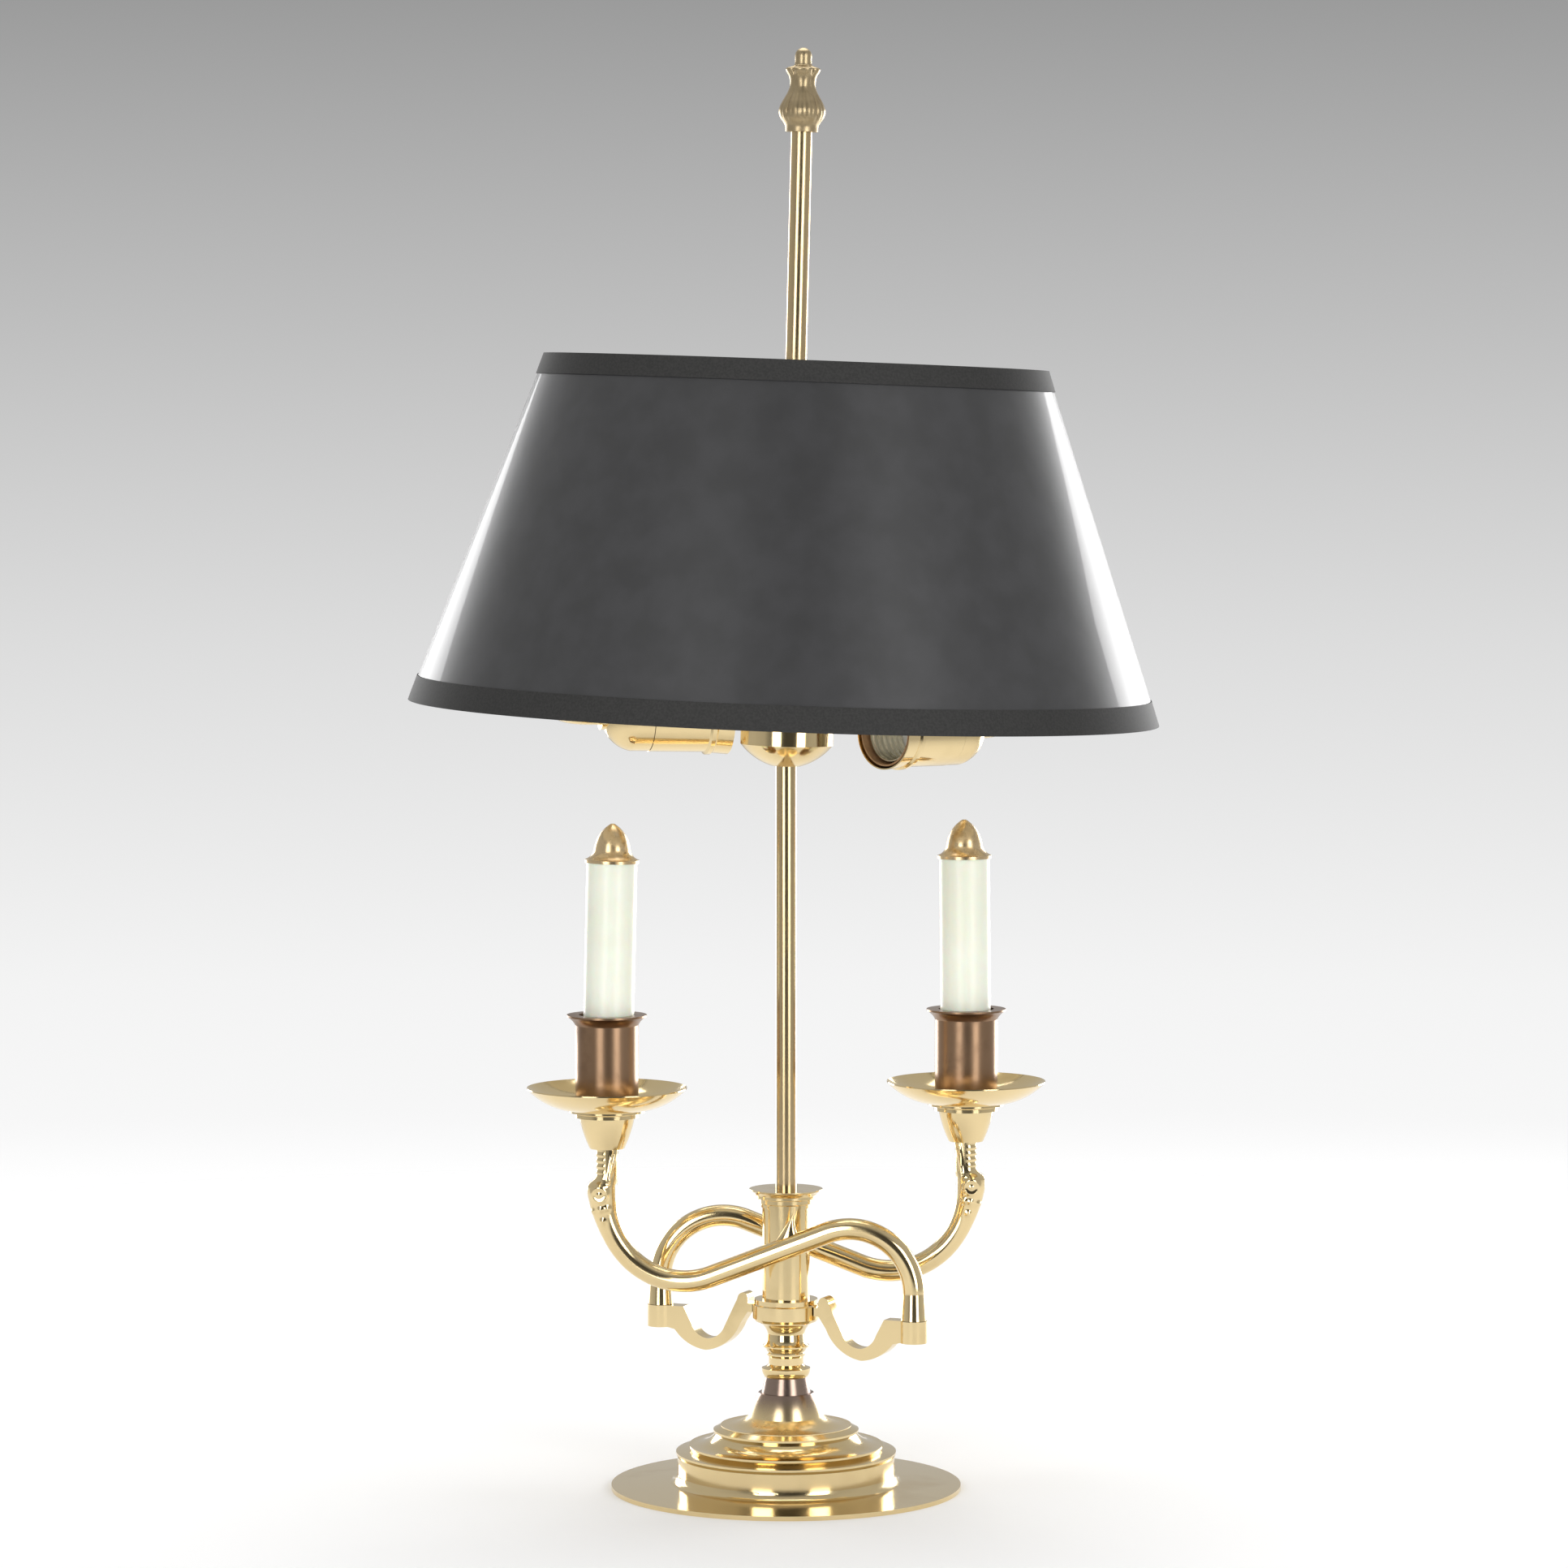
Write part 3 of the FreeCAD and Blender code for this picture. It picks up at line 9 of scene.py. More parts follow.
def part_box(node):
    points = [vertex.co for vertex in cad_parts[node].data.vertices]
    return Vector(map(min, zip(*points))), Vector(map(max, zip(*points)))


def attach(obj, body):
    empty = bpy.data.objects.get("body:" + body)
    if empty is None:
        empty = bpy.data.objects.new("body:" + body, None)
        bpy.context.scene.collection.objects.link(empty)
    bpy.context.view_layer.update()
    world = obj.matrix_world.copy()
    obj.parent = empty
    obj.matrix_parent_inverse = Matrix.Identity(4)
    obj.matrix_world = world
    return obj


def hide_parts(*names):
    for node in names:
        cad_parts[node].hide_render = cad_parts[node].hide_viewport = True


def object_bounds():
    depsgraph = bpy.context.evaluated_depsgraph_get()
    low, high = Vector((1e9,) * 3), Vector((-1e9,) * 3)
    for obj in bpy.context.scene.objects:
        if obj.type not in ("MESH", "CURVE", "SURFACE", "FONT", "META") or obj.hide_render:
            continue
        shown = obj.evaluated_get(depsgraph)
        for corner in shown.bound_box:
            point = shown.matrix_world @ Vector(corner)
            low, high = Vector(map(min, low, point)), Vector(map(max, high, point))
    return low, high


# The dressed bouillotte lamp. CAD pieces get worn metal, paper and plastic
# finishes and keep their shapes, apart from the arms, screw shells and finial,
# which finer meshes replace, and the brackets, whose edges are rounded. A
# lining is added inside the shade.

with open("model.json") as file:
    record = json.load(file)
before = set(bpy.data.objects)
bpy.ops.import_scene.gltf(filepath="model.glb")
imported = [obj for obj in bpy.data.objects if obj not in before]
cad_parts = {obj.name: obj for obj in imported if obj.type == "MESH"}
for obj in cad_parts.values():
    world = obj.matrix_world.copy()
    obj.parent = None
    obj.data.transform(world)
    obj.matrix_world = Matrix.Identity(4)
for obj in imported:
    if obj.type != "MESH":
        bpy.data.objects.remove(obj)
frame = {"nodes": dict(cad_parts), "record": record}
cad_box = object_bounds()

# Camera
IMAGE_SIDE = 1932
FOCAL_PIXELS = 7000
SENSOR_WIDTH = 36.0
CAMERA_DISTANCE = 2.758
CAMERA_HEIGHT = 0.525
CAMERA_ACROSS = -0.001
CAMERA_PITCH = math.radians(3.72)

# Background brightness by the height of the line of sight
SKY_LOW = -0.17
SKY_HIGH = 0.075
SKY_STEPS = ((0.0, 1.0), (0.29, 0.90), (0.53, 0.72), (0.76, 0.515), (1.0, 0.32))
STUDIO_LEVEL = 0.47
STUDIO_GLOSS = 0.52
STUDIO_DARK = 0.10
# Share of the wall's brightness by how far a reflection turns to the camera's side
WALL_STEPS = ((0.0, 1.0), (0.55, 0.85), (0.85, STUDIO_DARK), (1.0, STUDIO_DARK))
LAMP_AIM = Vector((0.0, 0.0, 0.38))
FAR_CLIP = 100.0

FLOOR_RADIUS = 1.6
FLOOR_CLEAR = 0.35
FLOOR_SEGMENTS = 96
FLOOR_WHITE = (0.95, 0.95, 0.95)
FLOOR_ROUGHNESS = 0.9

# Soft boxes: name, compass turn from the camera's side, height, distance, width, tall, watts
SOFT_BOXES = (
    ("left_box", -25.0, 0.75, 2.4, 0.9, 1.7, 21.0),
    ("right_box", 36.0, 0.75, 2.4, 0.9, 1.7, 22.0),
    ("left_edge_box", -146.0, 0.30, 2.2, 1.0, 1.1, 20.0),
    ("right_edge_box", 143.0, 0.30, 2.2, 1.2, 1.2, 34.0),
    ("top_box", 180.0, 2.2, 0.6, 1.6, 1.6, 20.0),
)


def node_of(tree, kind, **values):
    node = tree.nodes.new(kind)
    for name, value in values.items():
        setattr(node, name, value)
    return node


def ramp(tree, steps, source):
    node = node_of(tree, "ShaderNodeValToRGB")
    colors = node.color_ramp.elements
    for index, (spot, level) in enumerate(steps):
        item = colors[index] if index < len(colors) else colors.new(spot)
        item.position = spot
        item.color = (*level, 1.0) if isinstance(level, tuple) else (level, level, level, 1.0)
    tree.links.new(source, node.inputs["Fac"])
    return node.outputs["Color"]


def math_node(tree, operation, *inputs):
    node = node_of(tree, "ShaderNodeMath", operation=operation)
    for slot, value in zip(node.inputs, inputs):
        if isinstance(value, (int, float)):
            slot.default_value = value
        else:
            tree.links.new(value, slot)
    return node.outputs[0]


def mix_color(tree, factor, first, second):
    node = node_of(tree, "ShaderNodeMix", data_type="RGBA")
    sockets = [item for item in node.inputs if item.enabled]
    for slot, value in zip(sockets, (factor, first, second)):
        if isinstance(value, (int, float)):
            slot.default_value = value
        elif isinstance(value, tuple):
            slot.default_value = (*value, 1.0)
        else:
            tree.links.new(value, slot)
    return [item for item in node.outputs if item.enabled][0]


def build_world():
    world = bpy.data.worlds.new("studio")
    bpy.context.scene.world = world
    world.use_nodes = True
    tree = world.node_tree
    tree.nodes.clear()
    sight = node_of(tree, "ShaderNodeTexCoord").outputs["Generated"]
    split = node_of(tree, "ShaderNodeSeparateXYZ")
    tree.links.new(sight, split.inputs[0])
    level = node_of(tree, "ShaderNodeMapRange")
    tree.links.new(split.outputs["Z"], level.inputs["Value"])
    level.inputs["From Min"].default_value = SKY_LOW
    level.inputs["From Max"].default_value = SKY_HIGH
    sky = ramp(tree, SKY_STEPS, level.outputs["Result"])
    toward = math_node(tree, "MULTIPLY", split.outputs["Y"], -1.0)
    shade = ramp(tree, WALL_STEPS, toward)
    walls = mix_color(tree, 1.0, (STUDIO_GLOSS, STUDIO_GLOSS, STUDIO_GLOSS), shade)
    walls.node.blend_type = "MULTIPLY"
    path = node_of(tree, "ShaderNodeLightPath")
    glossy = math_node(tree, "MAXIMUM", path.outputs["Is Glossy Ray"], path.outputs["Is Transmission Ray"])
    plain = (STUDIO_LEVEL, STUDIO_LEVEL, STUDIO_LEVEL)
    seen = mix_color(tree, glossy, plain, walls)
    color = mix_color(tree, path.outputs["Is Camera Ray"], seen, sky)
    background = node_of(tree, "ShaderNodeBackground")
    tree.links.new(color, background.inputs["Color"])
    output = node_of(tree, "ShaderNodeOutputWorld")
    tree.links.new(background.outputs[0], output.inputs["Surface"])


def build_lights():
    for name, turn, height, distance, width, tall, watts in SOFT_BOXES:
        data = bpy.data.lights.new(name, "AREA")
        data.shape = "RECTANGLE"
        data.size, data.size_y = width, tall
        data.energy = watts
        lamp = bpy.data.objects.new(name, data)
        bpy.context.scene.collection.objects.link(lamp)
        angle = math.radians(turn)
        lamp.location = (math.sin(angle) * distance, -math.cos(angle) * distance, height)
        aim = LAMP_AIM - lamp.location
        lamp.rotation_euler = aim.to_track_quat("-Z", "Y").to_euler()


def build_camera():
    data = bpy.data.cameras.new("camera")
    data.sensor_width = SENSOR_WIDTH
    data.lens = SENSOR_WIDTH * FOCAL_PIXELS / IMAGE_SIDE
    data.clip_end = FAR_CLIP
    camera = bpy.data.objects.new("camera", data)
    bpy.context.scene.collection.objects.link(camera)
    camera.location = (CAMERA_ACROSS, -CAMERA_DISTANCE, CAMERA_HEIGHT)
    camera.rotation_euler = (math.pi / 2 - CAMERA_PITCH, 0.0, 0.0)
    bpy.context.scene.camera = camera


def build_floor():
    mesh = bpy.data.meshes.new("floor")
    shape = bmesh.new()
    bmesh.ops.create_circle(shape, cap_ends=True, segments=FLOOR_SEGMENTS, radius=FLOOR_RADIUS)
    shape.to_mesh(mesh)
    shape.free()
    floor = bpy.data.objects.new("floor", mesh)
    floor.location = (0.0, 0.0, cad_box[0][2])
    bpy.context.scene.collection.objects.link(floor)
    material = bpy.data.materials.new("floor_white")
    material.use_nodes = True
    tree = material.node_tree
    shader = tree.nodes["Principled BSDF"]
    shader.inputs["Base Color"].default_value = (*FLOOR_WHITE, 1.0)
    shader.inputs["Roughness"].default_value = FLOOR_ROUGHNESS
    spot = node_of(tree, "ShaderNodeTexCoord").outputs["Object"]
    length = node_of(tree, "ShaderNodeVectorMath", operation="LENGTH")
    tree.links.new(spot, length.inputs[0])
    fade = node_of(tree, "ShaderNodeMapRange", interpolation_type="SMOOTHSTEP")
    tree.links.new(length.outputs["Value"], fade.inputs["Value"])
    fade.inputs["From Min"].default_value = FLOOR_CLEAR
    fade.inputs["From Max"].default_value = FLOOR_RADIUS
    clear = node_of(tree, "ShaderNodeBsdfTransparent")
    mixer = node_of(tree, "ShaderNodeMixShader")
    tree.links.new(fade.outputs["Result"], mixer.inputs["Fac"])
    tree.links.new(shader.outputs[0], mixer.inputs[1])
    tree.links.new(clear.outputs[0], mixer.inputs[2])
    tree.links.new(mixer.outputs[0], tree.nodes["Material Output"].inputs["Surface"])
    mesh.materials.append(material)


# Shared mesh values, in millimetres and counts
MM = 0.001
ROUND_STEPS = 96
FINE_STEPS = 192
SHARP_ANGLE = 40.0
# Share of the bell neck's height over which the painted highlight at its foot fades into the patina
BELL_HIGHLIGHT_FADE_FROM = 0.25
BELL_HIGHLIGHT_FADE_TO = 1.0

# Swing arm in its own upright plane: along the arm from the pivot, and up.
# Both arms have this one route, and differ only in their headings in plan.
KNUCKLE_AZIMUTH = -23.2
KNUCKLE_REACH = 67.3
ARM_BASE = 86.9
LEFT_HEADING = 172.17
RIGHT_HEADING = -1.7
ARM_REACH = 150.5
ARM_STUB = 12.9
ARM_SLOPE = 21.5
HUMP_RADIUS = 31.0
TROUGH_RADIUS = 37.5
TROUGH_CENTRE = 54.22
ARM_TOP = 81.32
ARM_BAR_RADIUS = 5.3
ARM_FOOT_RADIUS = 6.2
ARM_SEGMENTS = 72
ROUTE_STEP = 0.5
# Cast head near the candle: distances down from the arm's top
HEAD_LENGTH = 52.0
HEAD_DOWN = 18.5
HEAD_RISE = 3.0
HEAD_SPREAD = 15.0
HEAD_SWELL = 2.1
HEAD_SHIFT = 2.6
NECK_LENGTH = 15.0
NECK_RIB_PITCH = 2.9
NECK_RIB_HEIGHT = 0.30
# Marks on the head: down, outward, ring size, width of its line, height
HEAD_MARKS = (
    (22.2, 2.8, 3.4, 0.9, 0.6),
    (22.2, 2.8, 0.0, 1.0, 0.5),
    (30.3, 6.2, 0.0, 1.2, 0.8),
    (29.5, 2.4, 0.0, 1.2, 0.8),
    (29.1, -0.8, 0.0, 1.2, 0.7),
    (35.0, 2.2, 0.0, 1.3, 0.8),
)
CREST_DOWN = 17.5
CREST_ACROSS = -1.3
CREST_SPREAD = 1.9
CREST_HEIGHT = 0.5
CREST_WIDTH = 0.55
LEAF_ROOT = (61.6, 35.0)
LEAF_TIP = (57.9, 53.3)
LEAF_WIDTH = 15.0
LEAF_THICKNESS = 4.4
LEAF_EDGE = 0.25
LEAF_TAPER = 1.7
LEAF_LEAN = -3.0
LEAF_STEPS = 24
LEAF_SEGMENTS = 24
LEAF_THINNING = 0.7
RELIEF_WRAP = 3.0

# Finial on the leaning upper rod: turned steps as (height, radius), how its
# leaves are cut, and the rounding of the brackets below
ROD_LEAN = 1.4
LEAN_START = 354.5
FINIAL_RISE = 306.8
FINIAL_STEPS = (
    (0.0, 7.9), (2.6, 8.1), (4.4, 9.0), (7.0, 10.7), (10.2, 11.3), (13.4, 10.3), (16.5, 8.6), (19.5, 7.0),
    (22.5, 6.2), (26.5, 6.7), (29.4, 8.3), (30.6, 8.0), (31.8, 4.7), (33.0, 4.1), (37.0, 4.0), (39.0, 3.2),
    (40.2, 1.5), (40.5, 0.6),
)
FINIAL_STEP = 0.3
FINIAL_CORE = 0.4
FINIAL_BORE = 5.2
FINIAL_HOLE = 9.0
LEAF_COUNT = 4
BULB_HEIGHT = 12.0
BULB_SPREAD = 5.5
BULB_CUT = 0.9
RIB_CUT = 0.35
NECK_HEIGHT = 22.0
NECK_SPREAD = 5.0
NECK_CUT = 0.8
FLARE_HEIGHT = 29.6
FLARE_SPREAD = 2.4
FLARE_CUT = 1.8
BRACKET_ROUND = 1.3
BRACKET_ROUND_STEPS = 3
RIBS_PER_LEAF = 2.5

# Lamp thread, and the shade's own leaning axis with the lining inside it
THREAD_DEPTH = 0.35
THREAD_PITCH = 3.63
THREAD_STEP = 0.3
THREAD_WALL = 0.35
SHADE_LEAN = 2.1
SHADE_FOOT = (-1.19, 0.0, 381.05)
LINING_LOW = 180.3
LINING_HIGH = 120.6
LINING_FOOT = 1.2
LINING_TALL = 167.0
LINING_THICK = 0.25
LINING_STEPS = 40

# Finishes: base colour, worn colour, share of wear, grain size, roughness, worn roughness
METALS = {
    "polished_brass": ((0.82, 0.65, 0.36), (0.56, 0.41, 0.19), 0.34, 24.0, 0.12, 0.22),
    "aged_brass": ((0.60, 0.46, 0.26), (0.38, 0.26, 0.13), 0.40, 30.0, 0.20, 0.34),
    "cap_brass": ((0.72, 0.55, 0.32), (0.46, 0.29, 0.12), 0.60, 150.0, 0.26, 0.36),
    "cast_brass": ((0.47, 0.37, 0.22), (0.27, 0.20, 0.11), 0.55, 160.0, 0.36, 0.50),
    "dark_bronze": ((0.30, 0.19, 0.115), (0.15, 0.09, 0.055), 0.55, 45.0, 0.28, 0.42),
    "violet_patina": ((0.34, 0.25, 0.20), (0.17, 0.12, 0.11), 0.60, 50.0, 0.24, 0.38),
    "steel": ((0.62, 0.62, 0.60), (0.40, 0.40, 0.38), 0.30, 60.0, 0.28, 0.40),
    "iron": ((0.13, 0.13, 0.13), (0.09, 0.07, 0.06), 0.50, 60.0, 0.70, 0.85),
    "screw_metal": ((0.82, 0.79, 0.68), (0.62, 0.56, 0.42), 0.30, 60.0, 0.22, 0.34),
}
# Plain finishes: colour, second colour, grain size, roughness, coat
PLAINS = {
    "ivory_sleeve": ((0.84, 0.85, 0.75), (0.79, 0.80, 0.68), 30.0, 0.36, 0.12),
    "shade_black": ((0.040, 0.040, 0.042), (0.031, 0.031, 0.032), 60.0, 0.40, 0.18),
    "trim_black": ((0.026, 0.025, 0.024), (0.015, 0.015, 0.014), 900.0, 0.70, 0.0),
    "felt": ((0.10, 0.19, 0.12), (0.07, 0.14, 0.09), 900.0, 0.95, 0.0),
    "liner_board": ((0.36, 0.21, 0.10), (0.27, 0.15, 0.07), 300.0, 0.60, 0.0),
    "porcelain": ((0.82, 0.81, 0.76), (0.76, 0.75, 0.70), 80.0, 0.45, 0.0),
    "knob_black": ((0.025, 0.024, 0.022), (0.035, 0.033, 0.030), 80.0, 0.30, 0.2),
    "shade_lining": ((0.80, 0.78, 0.72), (0.76, 0.74, 0.68), 60.0, 0.60, 0.0),
}
# Where the noise turns from clean to worn, and the sleeves' inner scatter
METAL_MASK = (0.5, 0.72)
PLAIN_MASK = (0.3, 0.7)
NOISE_DETAIL = 5.0
IVORY_SCATTER = 0.3
IVORY_SCATTER_DEPTH = 0.004
finishes = {}


def noise_mask(tree, scale, low, high):
    spot = node_of(tree, "ShaderNodeTexCoord").outputs["Object"]
    grain = node_of(tree, "ShaderNodeTexNoise")
    grain.inputs["Scale"].default_value = scale
    grain.inputs["Detail"].default_value = NOISE_DETAIL
    tree.links.new(spot, grain.inputs["Vector"])
    band = node_of(tree, "ShaderNodeMapRange", interpolation_type="SMOOTHSTEP")
    tree.links.new(grain.outputs["Fac"], band.inputs["Value"])
    band.inputs["From Min"].default_value = low
    band.inputs["From Max"].default_value = high
    return band.outputs["Result"]


def build_finishes():
    for name, (clean, worn, wear, scale, smooth, dull) in METALS.items():
        material = bpy.data.materials.new(name)
        material.use_nodes = True
        tree = material.node_tree
        shader = tree.nodes["Principled BSDF"]
        shader.inputs["Metallic"].default_value = 1.0
        mask = noise_mask(tree, scale, *METAL_MASK)
        share = math_node(tree, "MULTIPLY", mask, wear)
        tree.links.new(mix_color(tree, share, clean, worn), shader.inputs["Base Color"])
        rough = node_of(tree, "ShaderNodeMapRange")
        tree.links.new(mask, rough.inputs["Value"])
        rough.inputs["To Min"].default_value = smooth
        rough.inputs["To Max"].default_value = dull
        tree.links.new(rough.outputs["Result"], shader.inputs["Roughness"])
        finishes[name] = material
    for name, (first, second, scale, rough, coat) in PLAINS.items():
        material = bpy.data.materials.new(name)
        material.use_nodes = True
        tree = material.node_tree
        shader = tree.nodes["Principled BSDF"]
        shader.inputs["Roughness"].default_value = rough
        shader.inputs["Coat Weight"].default_value = coat
        mask = noise_mask(tree, scale, *PLAIN_MASK)
        tree.links.new(mix_color(tree, mask, first, second), shader.inputs["Base Color"])
        finishes[name] = material
    ivory = finishes["ivory_sleeve"].node_tree.nodes["Principled BSDF"]
    ivory.inputs["Subsurface Weight"].default_value = IVORY_SCATTER
    ivory.inputs["Subsurface Scale"].default_value = IVORY_SCATTER_DEPTH


def build_bell_patina_and_highlight():
    """Violet patina with a painted highlight in polished brass colour at the flared foot, fading into the
    patina above it.
    """
    material = finishes["violet_patina"].copy()
    material.name = "bell_patina_highlight"
    tree = material.node_tree
    shader = tree.nodes["Principled BSDF"]
    dark = shader.inputs["Base Color"].links[0].from_socket
    split = node_of(tree, "ShaderNodeSeparateXYZ")
    tree.links.new(node_of(tree, "ShaderNodeTexCoord").outputs["Object"], split.inputs[0])
    low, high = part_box("bell_neck")
    rise = node_of(tree, "ShaderNodeMapRange", interpolation_type="SMOOTHSTEP")
    tree.links.new(split.outputs["Z"], rise.inputs["Value"])
    rise.inputs["From Min"].default_value = low[2] + (high[2] - low[2]) * BELL_HIGHLIGHT_FADE_FROM
    rise.inputs["From Max"].default_value = low[2] + (high[2] - low[2]) * BELL_HIGHLIGHT_FADE_TO
    # Painted highlight: polished brass colour at the bell's foot
    highlight_color = METALS["polished_brass"][0]
    tree.links.new(mix_color(tree, rise.outputs["Result"], highlight_color, dark), shader.inputs["Base Color"])
    finishes["bell_patina_highlight"] = material


def dress_nodes():
    slots = {item["node"]: item["material_slot"] for item in frame["record"]["subparts"]}
    # The bell neck gets violet patina with a painted highlight at its foot
    own = {"bell_neck": "bell_patina_highlight", "left_candle_cap": "cap_brass", "right_candle_cap": "cap_brass"}
    for label, item in frame["nodes"].items():
        for slot in item.material_slots:
            slot.link = "OBJECT"
            slot.material = finishes[own.get(label, slots[label])]


def finished_piece(name, shape, finish, body, node=None):
    """Turns a bmesh into a smooth piece that rides on a body and may replace a node."""
    bmesh.ops.recalc_face_normals(shape, faces=shape.faces)
    for face in shape.faces:
        face.smooth = True
    mesh = bpy.data.meshes.new(name)
    shape.to_mesh(mesh)
    shape.free()
    mesh.set_sharp_from_angle(angle=math.radians(SHARP_ANGLE))
    mesh.materials.append(finishes[finish])
    piece = bpy.data.objects.new(name, mesh)
    bpy.context.scene.collection.objects.link(piece)
    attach(piece, body)
    if node:
        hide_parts(node)
    return piece


def skin_rings(shape, rings, closed_ends=True, closed_loop=False):
    """Joins rings of points into a tube, with its ends closed by a fan."""
    rows = [[shape.verts.new(point) for point in ring] for ring in rings]
    pairs = list(zip(rows, rows[1:]))
    if closed_loop:
        pairs.append((rows[-1], rows[0]))
    for low, high in pairs:
        for index in range(len(low)):
            after = (index + 1) % len(low)
            shape.faces.new((low[index], low[after], high[after], high[index]))
    if closed_ends:
        shape.faces.new(list(reversed(rows[0])))
        shape.faces.new(rows[-1])


def lathe(shape, outline, matrix, radius_at=None, closed_loop=False, segments=ROUND_STEPS):
    """Turns an outline of (radius, height) in millimetres; radius_at may ripple it."""
    rings = []
    for radius, height in outline:
        ring = []
        for index in range(segments):
            turn = math.tau * index / segments
            reach = radius if radius_at is None else radius_at(radius, height, turn)
            ring.append(matrix @ (Vector((math.cos(turn) * reach, math.sin(turn) * reach, height)) * MM))
        rings.append(ring)
    skin_rings(shape, rings, closed_ends=not closed_loop, closed_loop=closed_loop)


def bump(distance, width):
    return math.exp(-(distance / width) ** 2)


def arm_route():
    """Points, headings and path lengths along the S-shaped arm, in its own upright plane."""
    slope = math.radians(ARM_SLOPE)
    hump_from = Vector((0.0, ARM_STUB))
    hump_centre = Vector((HUMP_RADIUS, ARM_STUB))
    hump_turn = math.pi / 2 + slope
    trough_centre = Vector((ARM_REACH - TROUGH_RADIUS, TROUGH_CENTRE))
    stops = []
    steps = round(ARM_STUB / ROUTE_STEP)
    for index in range(steps):
        stops.append(hump_from * (index / steps))
    steps = round(HUMP_RADIUS * hump_turn / ROUTE_STEP)
    for index in range(steps + 1):
        turn = math.pi - hump_turn * index / steps
        stops.append(hump_centre + Vector((math.cos(turn), math.sin(turn))) * HUMP_RADIUS)
    low_turn = math.pi * 1.5 - slope
    sweep = math.tau - low_turn
    steps = round(TROUGH_RADIUS * sweep / ROUTE_STEP)
    arc = [trough_centre + Vector((math.cos(low_turn + sweep * index / steps),
                                   math.sin(low_turn + sweep * index / steps))) * TROUGH_RADIUS
           for index in range(steps + 1)]
    start = stops[-1]
    steps = round((arc[0] - start).length / ROUTE_STEP)
    for index in range(1, steps):
        stops.append(start.lerp(arc[0], index / steps))
    stops.extend(arc)
    neck = ARM_TOP - TROUGH_CENTRE
    steps = round(neck / ROUTE_STEP)
    for index in range(1, steps + 1):
        stops.append(Vector((ARM_REACH, TROUGH_CENTRE + neck * index / steps)))
    return stops


def arm_relief(down, side, outward):
    """Height of the cast animal head's relief at a place on the arm, in millimetres."""
    relief = 0.0
    if down < NECK_LENGTH:
        wave = math.cos(math.tau * down / NECK_RIB_PITCH)
        relief += NECK_RIB_HEIGHT * wave * max(0.0, outward) * bump(down - NECK_LENGTH / 2, NECK_LENGTH / 2)
    for spot_down, spot_across, ring, width, height in HEAD_MARKS:
        away = math.hypot(down - spot_down, side - spot_across)
        relief += height * bump(away - ring, width)
    for end, height in ((CREST_SPREAD, CREST_HEIGHT), (CREST_SPREAD * 2, CREST_HEIGHT)):
        if down < CREST_DOWN:
            line = CREST_ACROSS - end * (1.0 - down / CREST_DOWN)
            relief += height * bump(side - line, CREST_WIDTH)
    return relief


def build_arm(side, origin, heading):
    stops = arm_route()
    lengths = [0.0]
    for first, second in zip(stops, stops[1:]):
        lengths.append(lengths[-1] + (second - first).length)
    total = lengths[-1]
    place = Matrix.Translation(origin) @ Matrix.Rotation(heading, 4, "Z")
    rings = []
    for index, stop in enumerate(stops):
        before = stops[max(0, index - 1)]
        after = stops[min(len(stops) - 1, index + 1)]
        along = (after - before).normalized()
        across = Vector((along.y, -along.x))
        down = total - lengths[index]
        foot = max(0.0, 1.0 - lengths[index] / ARM_STUB)
        spread = HEAD_SPREAD if down > HEAD_DOWN else HEAD_RISE
        swell = bump(down - HEAD_DOWN, spread)
        radius = ARM_BAR_RADIUS + (ARM_FOOT_RADIUS - ARM_BAR_RADIUS) * foot + HEAD_SWELL * swell
        shift = HEAD_SHIFT * swell
        ring = []
        for step in range(ARM_SEGMENTS):
            turn = math.tau * step / ARM_SEGMENTS
            out = math.cos(turn)
            depth = math.sin(turn)
            reach = radius
            if down < HEAD_LENGTH:
                fade = min(1.0, abs(depth) * RELIEF_WRAP + max(0.0, out))
                reach += arm_relief(down, shift + out * radius, out) * fade
            middle = stop + across * (shift + out * reach)
            ring.append(place @ (Vector((middle.x, depth * reach, middle.y)) * MM))
        rings.append(ring)
    shape = bmesh.new()
    skin_rings(shape, rings)
    leaf = []
    for step in range(LEAF_STEPS + 1):
        share = step / LEAF_STEPS
        centre = Vector(LEAF_ROOT).lerp(Vector(LEAF_TIP), share)
        centre.x -= LEAF_LEAN * share * (1.0 - share)
        half_wide = LEAF_WIDTH / 2 * (1.0 - share) ** LEAF_TAPER + LEAF_EDGE
        half_thick = LEAF_THICKNESS / 2 * (1.0 - share) ** LEAF_THINNING + LEAF_EDGE
        leaf.append([place @ (Vector((centre.x + math.cos(turn) * half_wide, math.sin(turn) * half_thick,
                                      centre.y)) * MM)
                     for turn in [math.tau * item / LEAF_SEGMENTS for item in range(LEAF_SEGMENTS)]])
    skin_rings(shape, leaf)
    return finished_piece(f"{side}_arm_cast", shape, "polished_brass", f"{side}_arm_group",
                          f"{side}_arm")


def build_arms():
    for side, sign, heading in (("left", 1.0, LEFT_HEADING), ("right", -1.0, RIGHT_HEADING)):
        angle = math.radians(KNUCKLE_AZIMUTH)
        reach = KNUCKLE_REACH * sign
        origin = Vector((math.cos(angle) * reach, math.sin(angle) * reach, ARM_BASE)) * MM
        build_arm(side, origin, math.radians(heading))


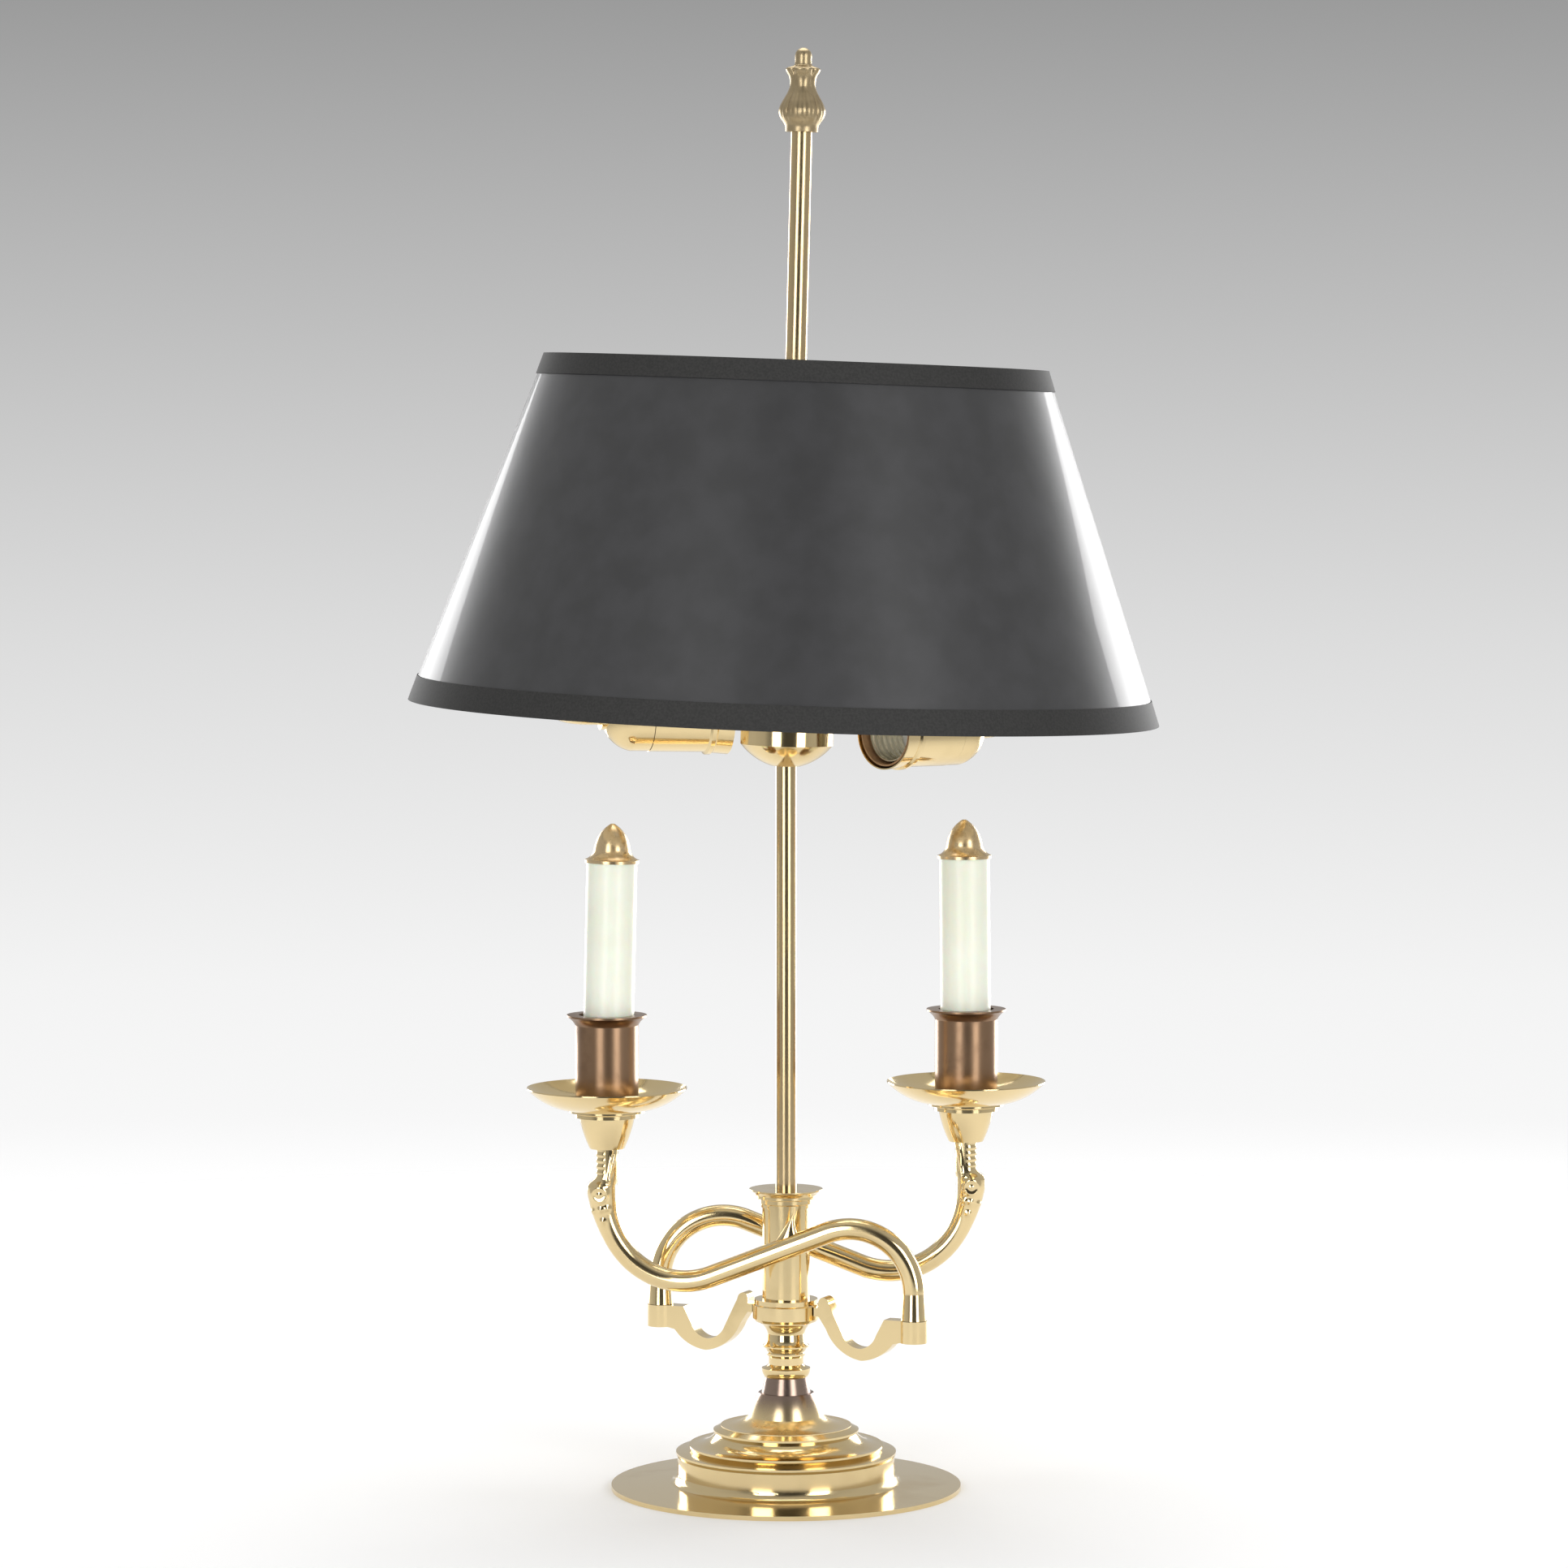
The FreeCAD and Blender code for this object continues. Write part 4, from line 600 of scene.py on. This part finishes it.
def build_screw_shells():
    """Rolled thread inside each lamp socket, around the axis that its mount names."""
    mounts = {item["name"]: item for item in frame["record"]["mounts"]}
    for side in ("left", "right"):
        mount = mounts[f"{side}_lamp_socket"]
        axis = Vector(mount["axis"]).normalized()
        turn_to_axis = axis.to_track_quat("Z", "Y").to_matrix().to_4x4()
        place = Matrix.Translation(Vector(mount["pos_m"])) @ turn_to_axis
        half = mount["dims"]["length_mm"] / 2
        inner = mount["dims"]["r_mm"]

        def ripple(radius, height, turn):
            return radius + THREAD_DEPTH * (1.0 + math.sin(math.tau * height / THREAD_PITCH - turn))

        steps = round(2 * half / THREAD_STEP)
        bore = [(inner - THREAD_DEPTH, -half + 2 * half * index / steps) for index in range(steps + 1)]
        back = [(radius + THREAD_WALL, height) for radius, height in reversed(bore)]
        shape = bmesh.new()
        lathe(shape, bore + back, place, ripple, closed_loop=True)
        finished_piece(f"{side}_screw_thread", shape, "screw_metal", "stand",
                       f"{side}_screw_shell")


def finial_radius(height):
    """The finial's outline, drawn smoothly through its steps."""
    last = len(FINIAL_STEPS) - 1
    for index in range(last):
        low, start = FINIAL_STEPS[index]
        high, end = FINIAL_STEPS[index + 1]
        if height <= high:
            before = FINIAL_STEPS[max(0, index - 1)]
            after = FINIAL_STEPS[min(last, index + 2)]
            share = (height - low) / (high - low)
            leave = (end - before[1]) / (high - before[0]) * (high - low)
            arrive = (after[1] - start) / (after[0] - low) * (high - low)
            return (start * (1 + 2 * share) * (1 - share) ** 2 + leave * share * (1 - share) ** 2
                    + end * share ** 2 * (3 - 2 * share) + arrive * share ** 2 * (share - 1))
    return FINIAL_STEPS[-1][1]


def finial_leaf(radius, height, turn):
    """Ribs and lobes of the leaves that wrap the bulb and flare out at the tip."""
    lobe = abs(math.cos(turn * LEAF_COUNT / 2))
    ribs = abs(math.cos(turn * LEAF_COUNT * RIBS_PER_LEAF))
    bulb = bump(height - BULB_HEIGHT, BULB_SPREAD)
    neck = bump(height - NECK_HEIGHT, NECK_SPREAD)
    flare = bump(height - FLARE_HEIGHT, FLARE_SPREAD)
    cut = bulb * (BULB_CUT * (1.0 - lobe) ** 2 + RIB_CUT * (1.0 - ribs))
    cut += neck * NECK_CUT * (1.0 - lobe) + flare * FLARE_CUT * (1.0 - lobe) ** 2
    return radius - cut


def build_finial():
    lean = math.radians(ROD_LEAN)
    base = Vector((math.sin(lean) * FINIAL_RISE, 0.0, LEAN_START + math.cos(lean) * FINIAL_RISE)) * MM
    place = Matrix.Translation(base) @ Matrix.Rotation(lean, 4, "Y")
    top = FINIAL_STEPS[-1][0]
    steps = round(top / FINIAL_STEP)
    outline = [(FINIAL_CORE, FINIAL_HOLE), (FINIAL_BORE, FINIAL_HOLE), (FINIAL_BORE, 0.0)]
    outline += [(finial_radius(top * index / steps), top * index / steps) for index in range(steps + 1)]

    def carved(radius, height, turn):
        return finial_leaf(radius, height, turn) if radius > FINIAL_BORE else radius

    shape = bmesh.new()
    lathe(shape, outline, place, carved, segments=FINE_STEPS)
    finished_piece("finial_cast", shape, "cast_brass", "finial", "finial")


def soften_brackets():
    """Rounds the cast edges of both brackets."""
    for side in ("left", "right"):
        edge = frame["nodes"][f"{side}_arm_bracket"].modifiers.new("cast_edges", "BEVEL")
        edge.width = BRACKET_ROUND * MM
        edge.segments = BRACKET_ROUND_STEPS
        edge.limit_method = "ANGLE"
        edge.angle_limit = math.radians(SHARP_ANGLE)
        edge.harden_normals = True


def build_lining():
    """Pale paper inside the dark shade."""
    lean = Matrix.Rotation(math.radians(SHADE_LEAN), 4, "Y")
    shape = bmesh.new()
    outline = []
    for index in range(LINING_STEPS + 1):
        share = index / LINING_STEPS
        outline.append((LINING_LOW + (LINING_HIGH - LINING_LOW) * share, LINING_FOOT + LINING_TALL * share))
    back = [(radius - LINING_THICK, height) for radius, height in reversed(outline)]
    place = Matrix.Translation(Vector(SHADE_FOOT) * MM) @ lean
    lathe(shape, outline + back, place, closed_loop=True, segments=FINE_STEPS)
    finished_piece("shade_lining", shape, "shade_lining", "shade")


build_world()
build_lights()
build_camera()
build_floor()
build_finishes()
build_bell_patina_and_highlight()
dress_nodes()
build_arms()
build_screw_shells()
build_finial()
soften_brackets()
build_lining()
bpy.context.scene.view_settings.view_transform = "Standard"
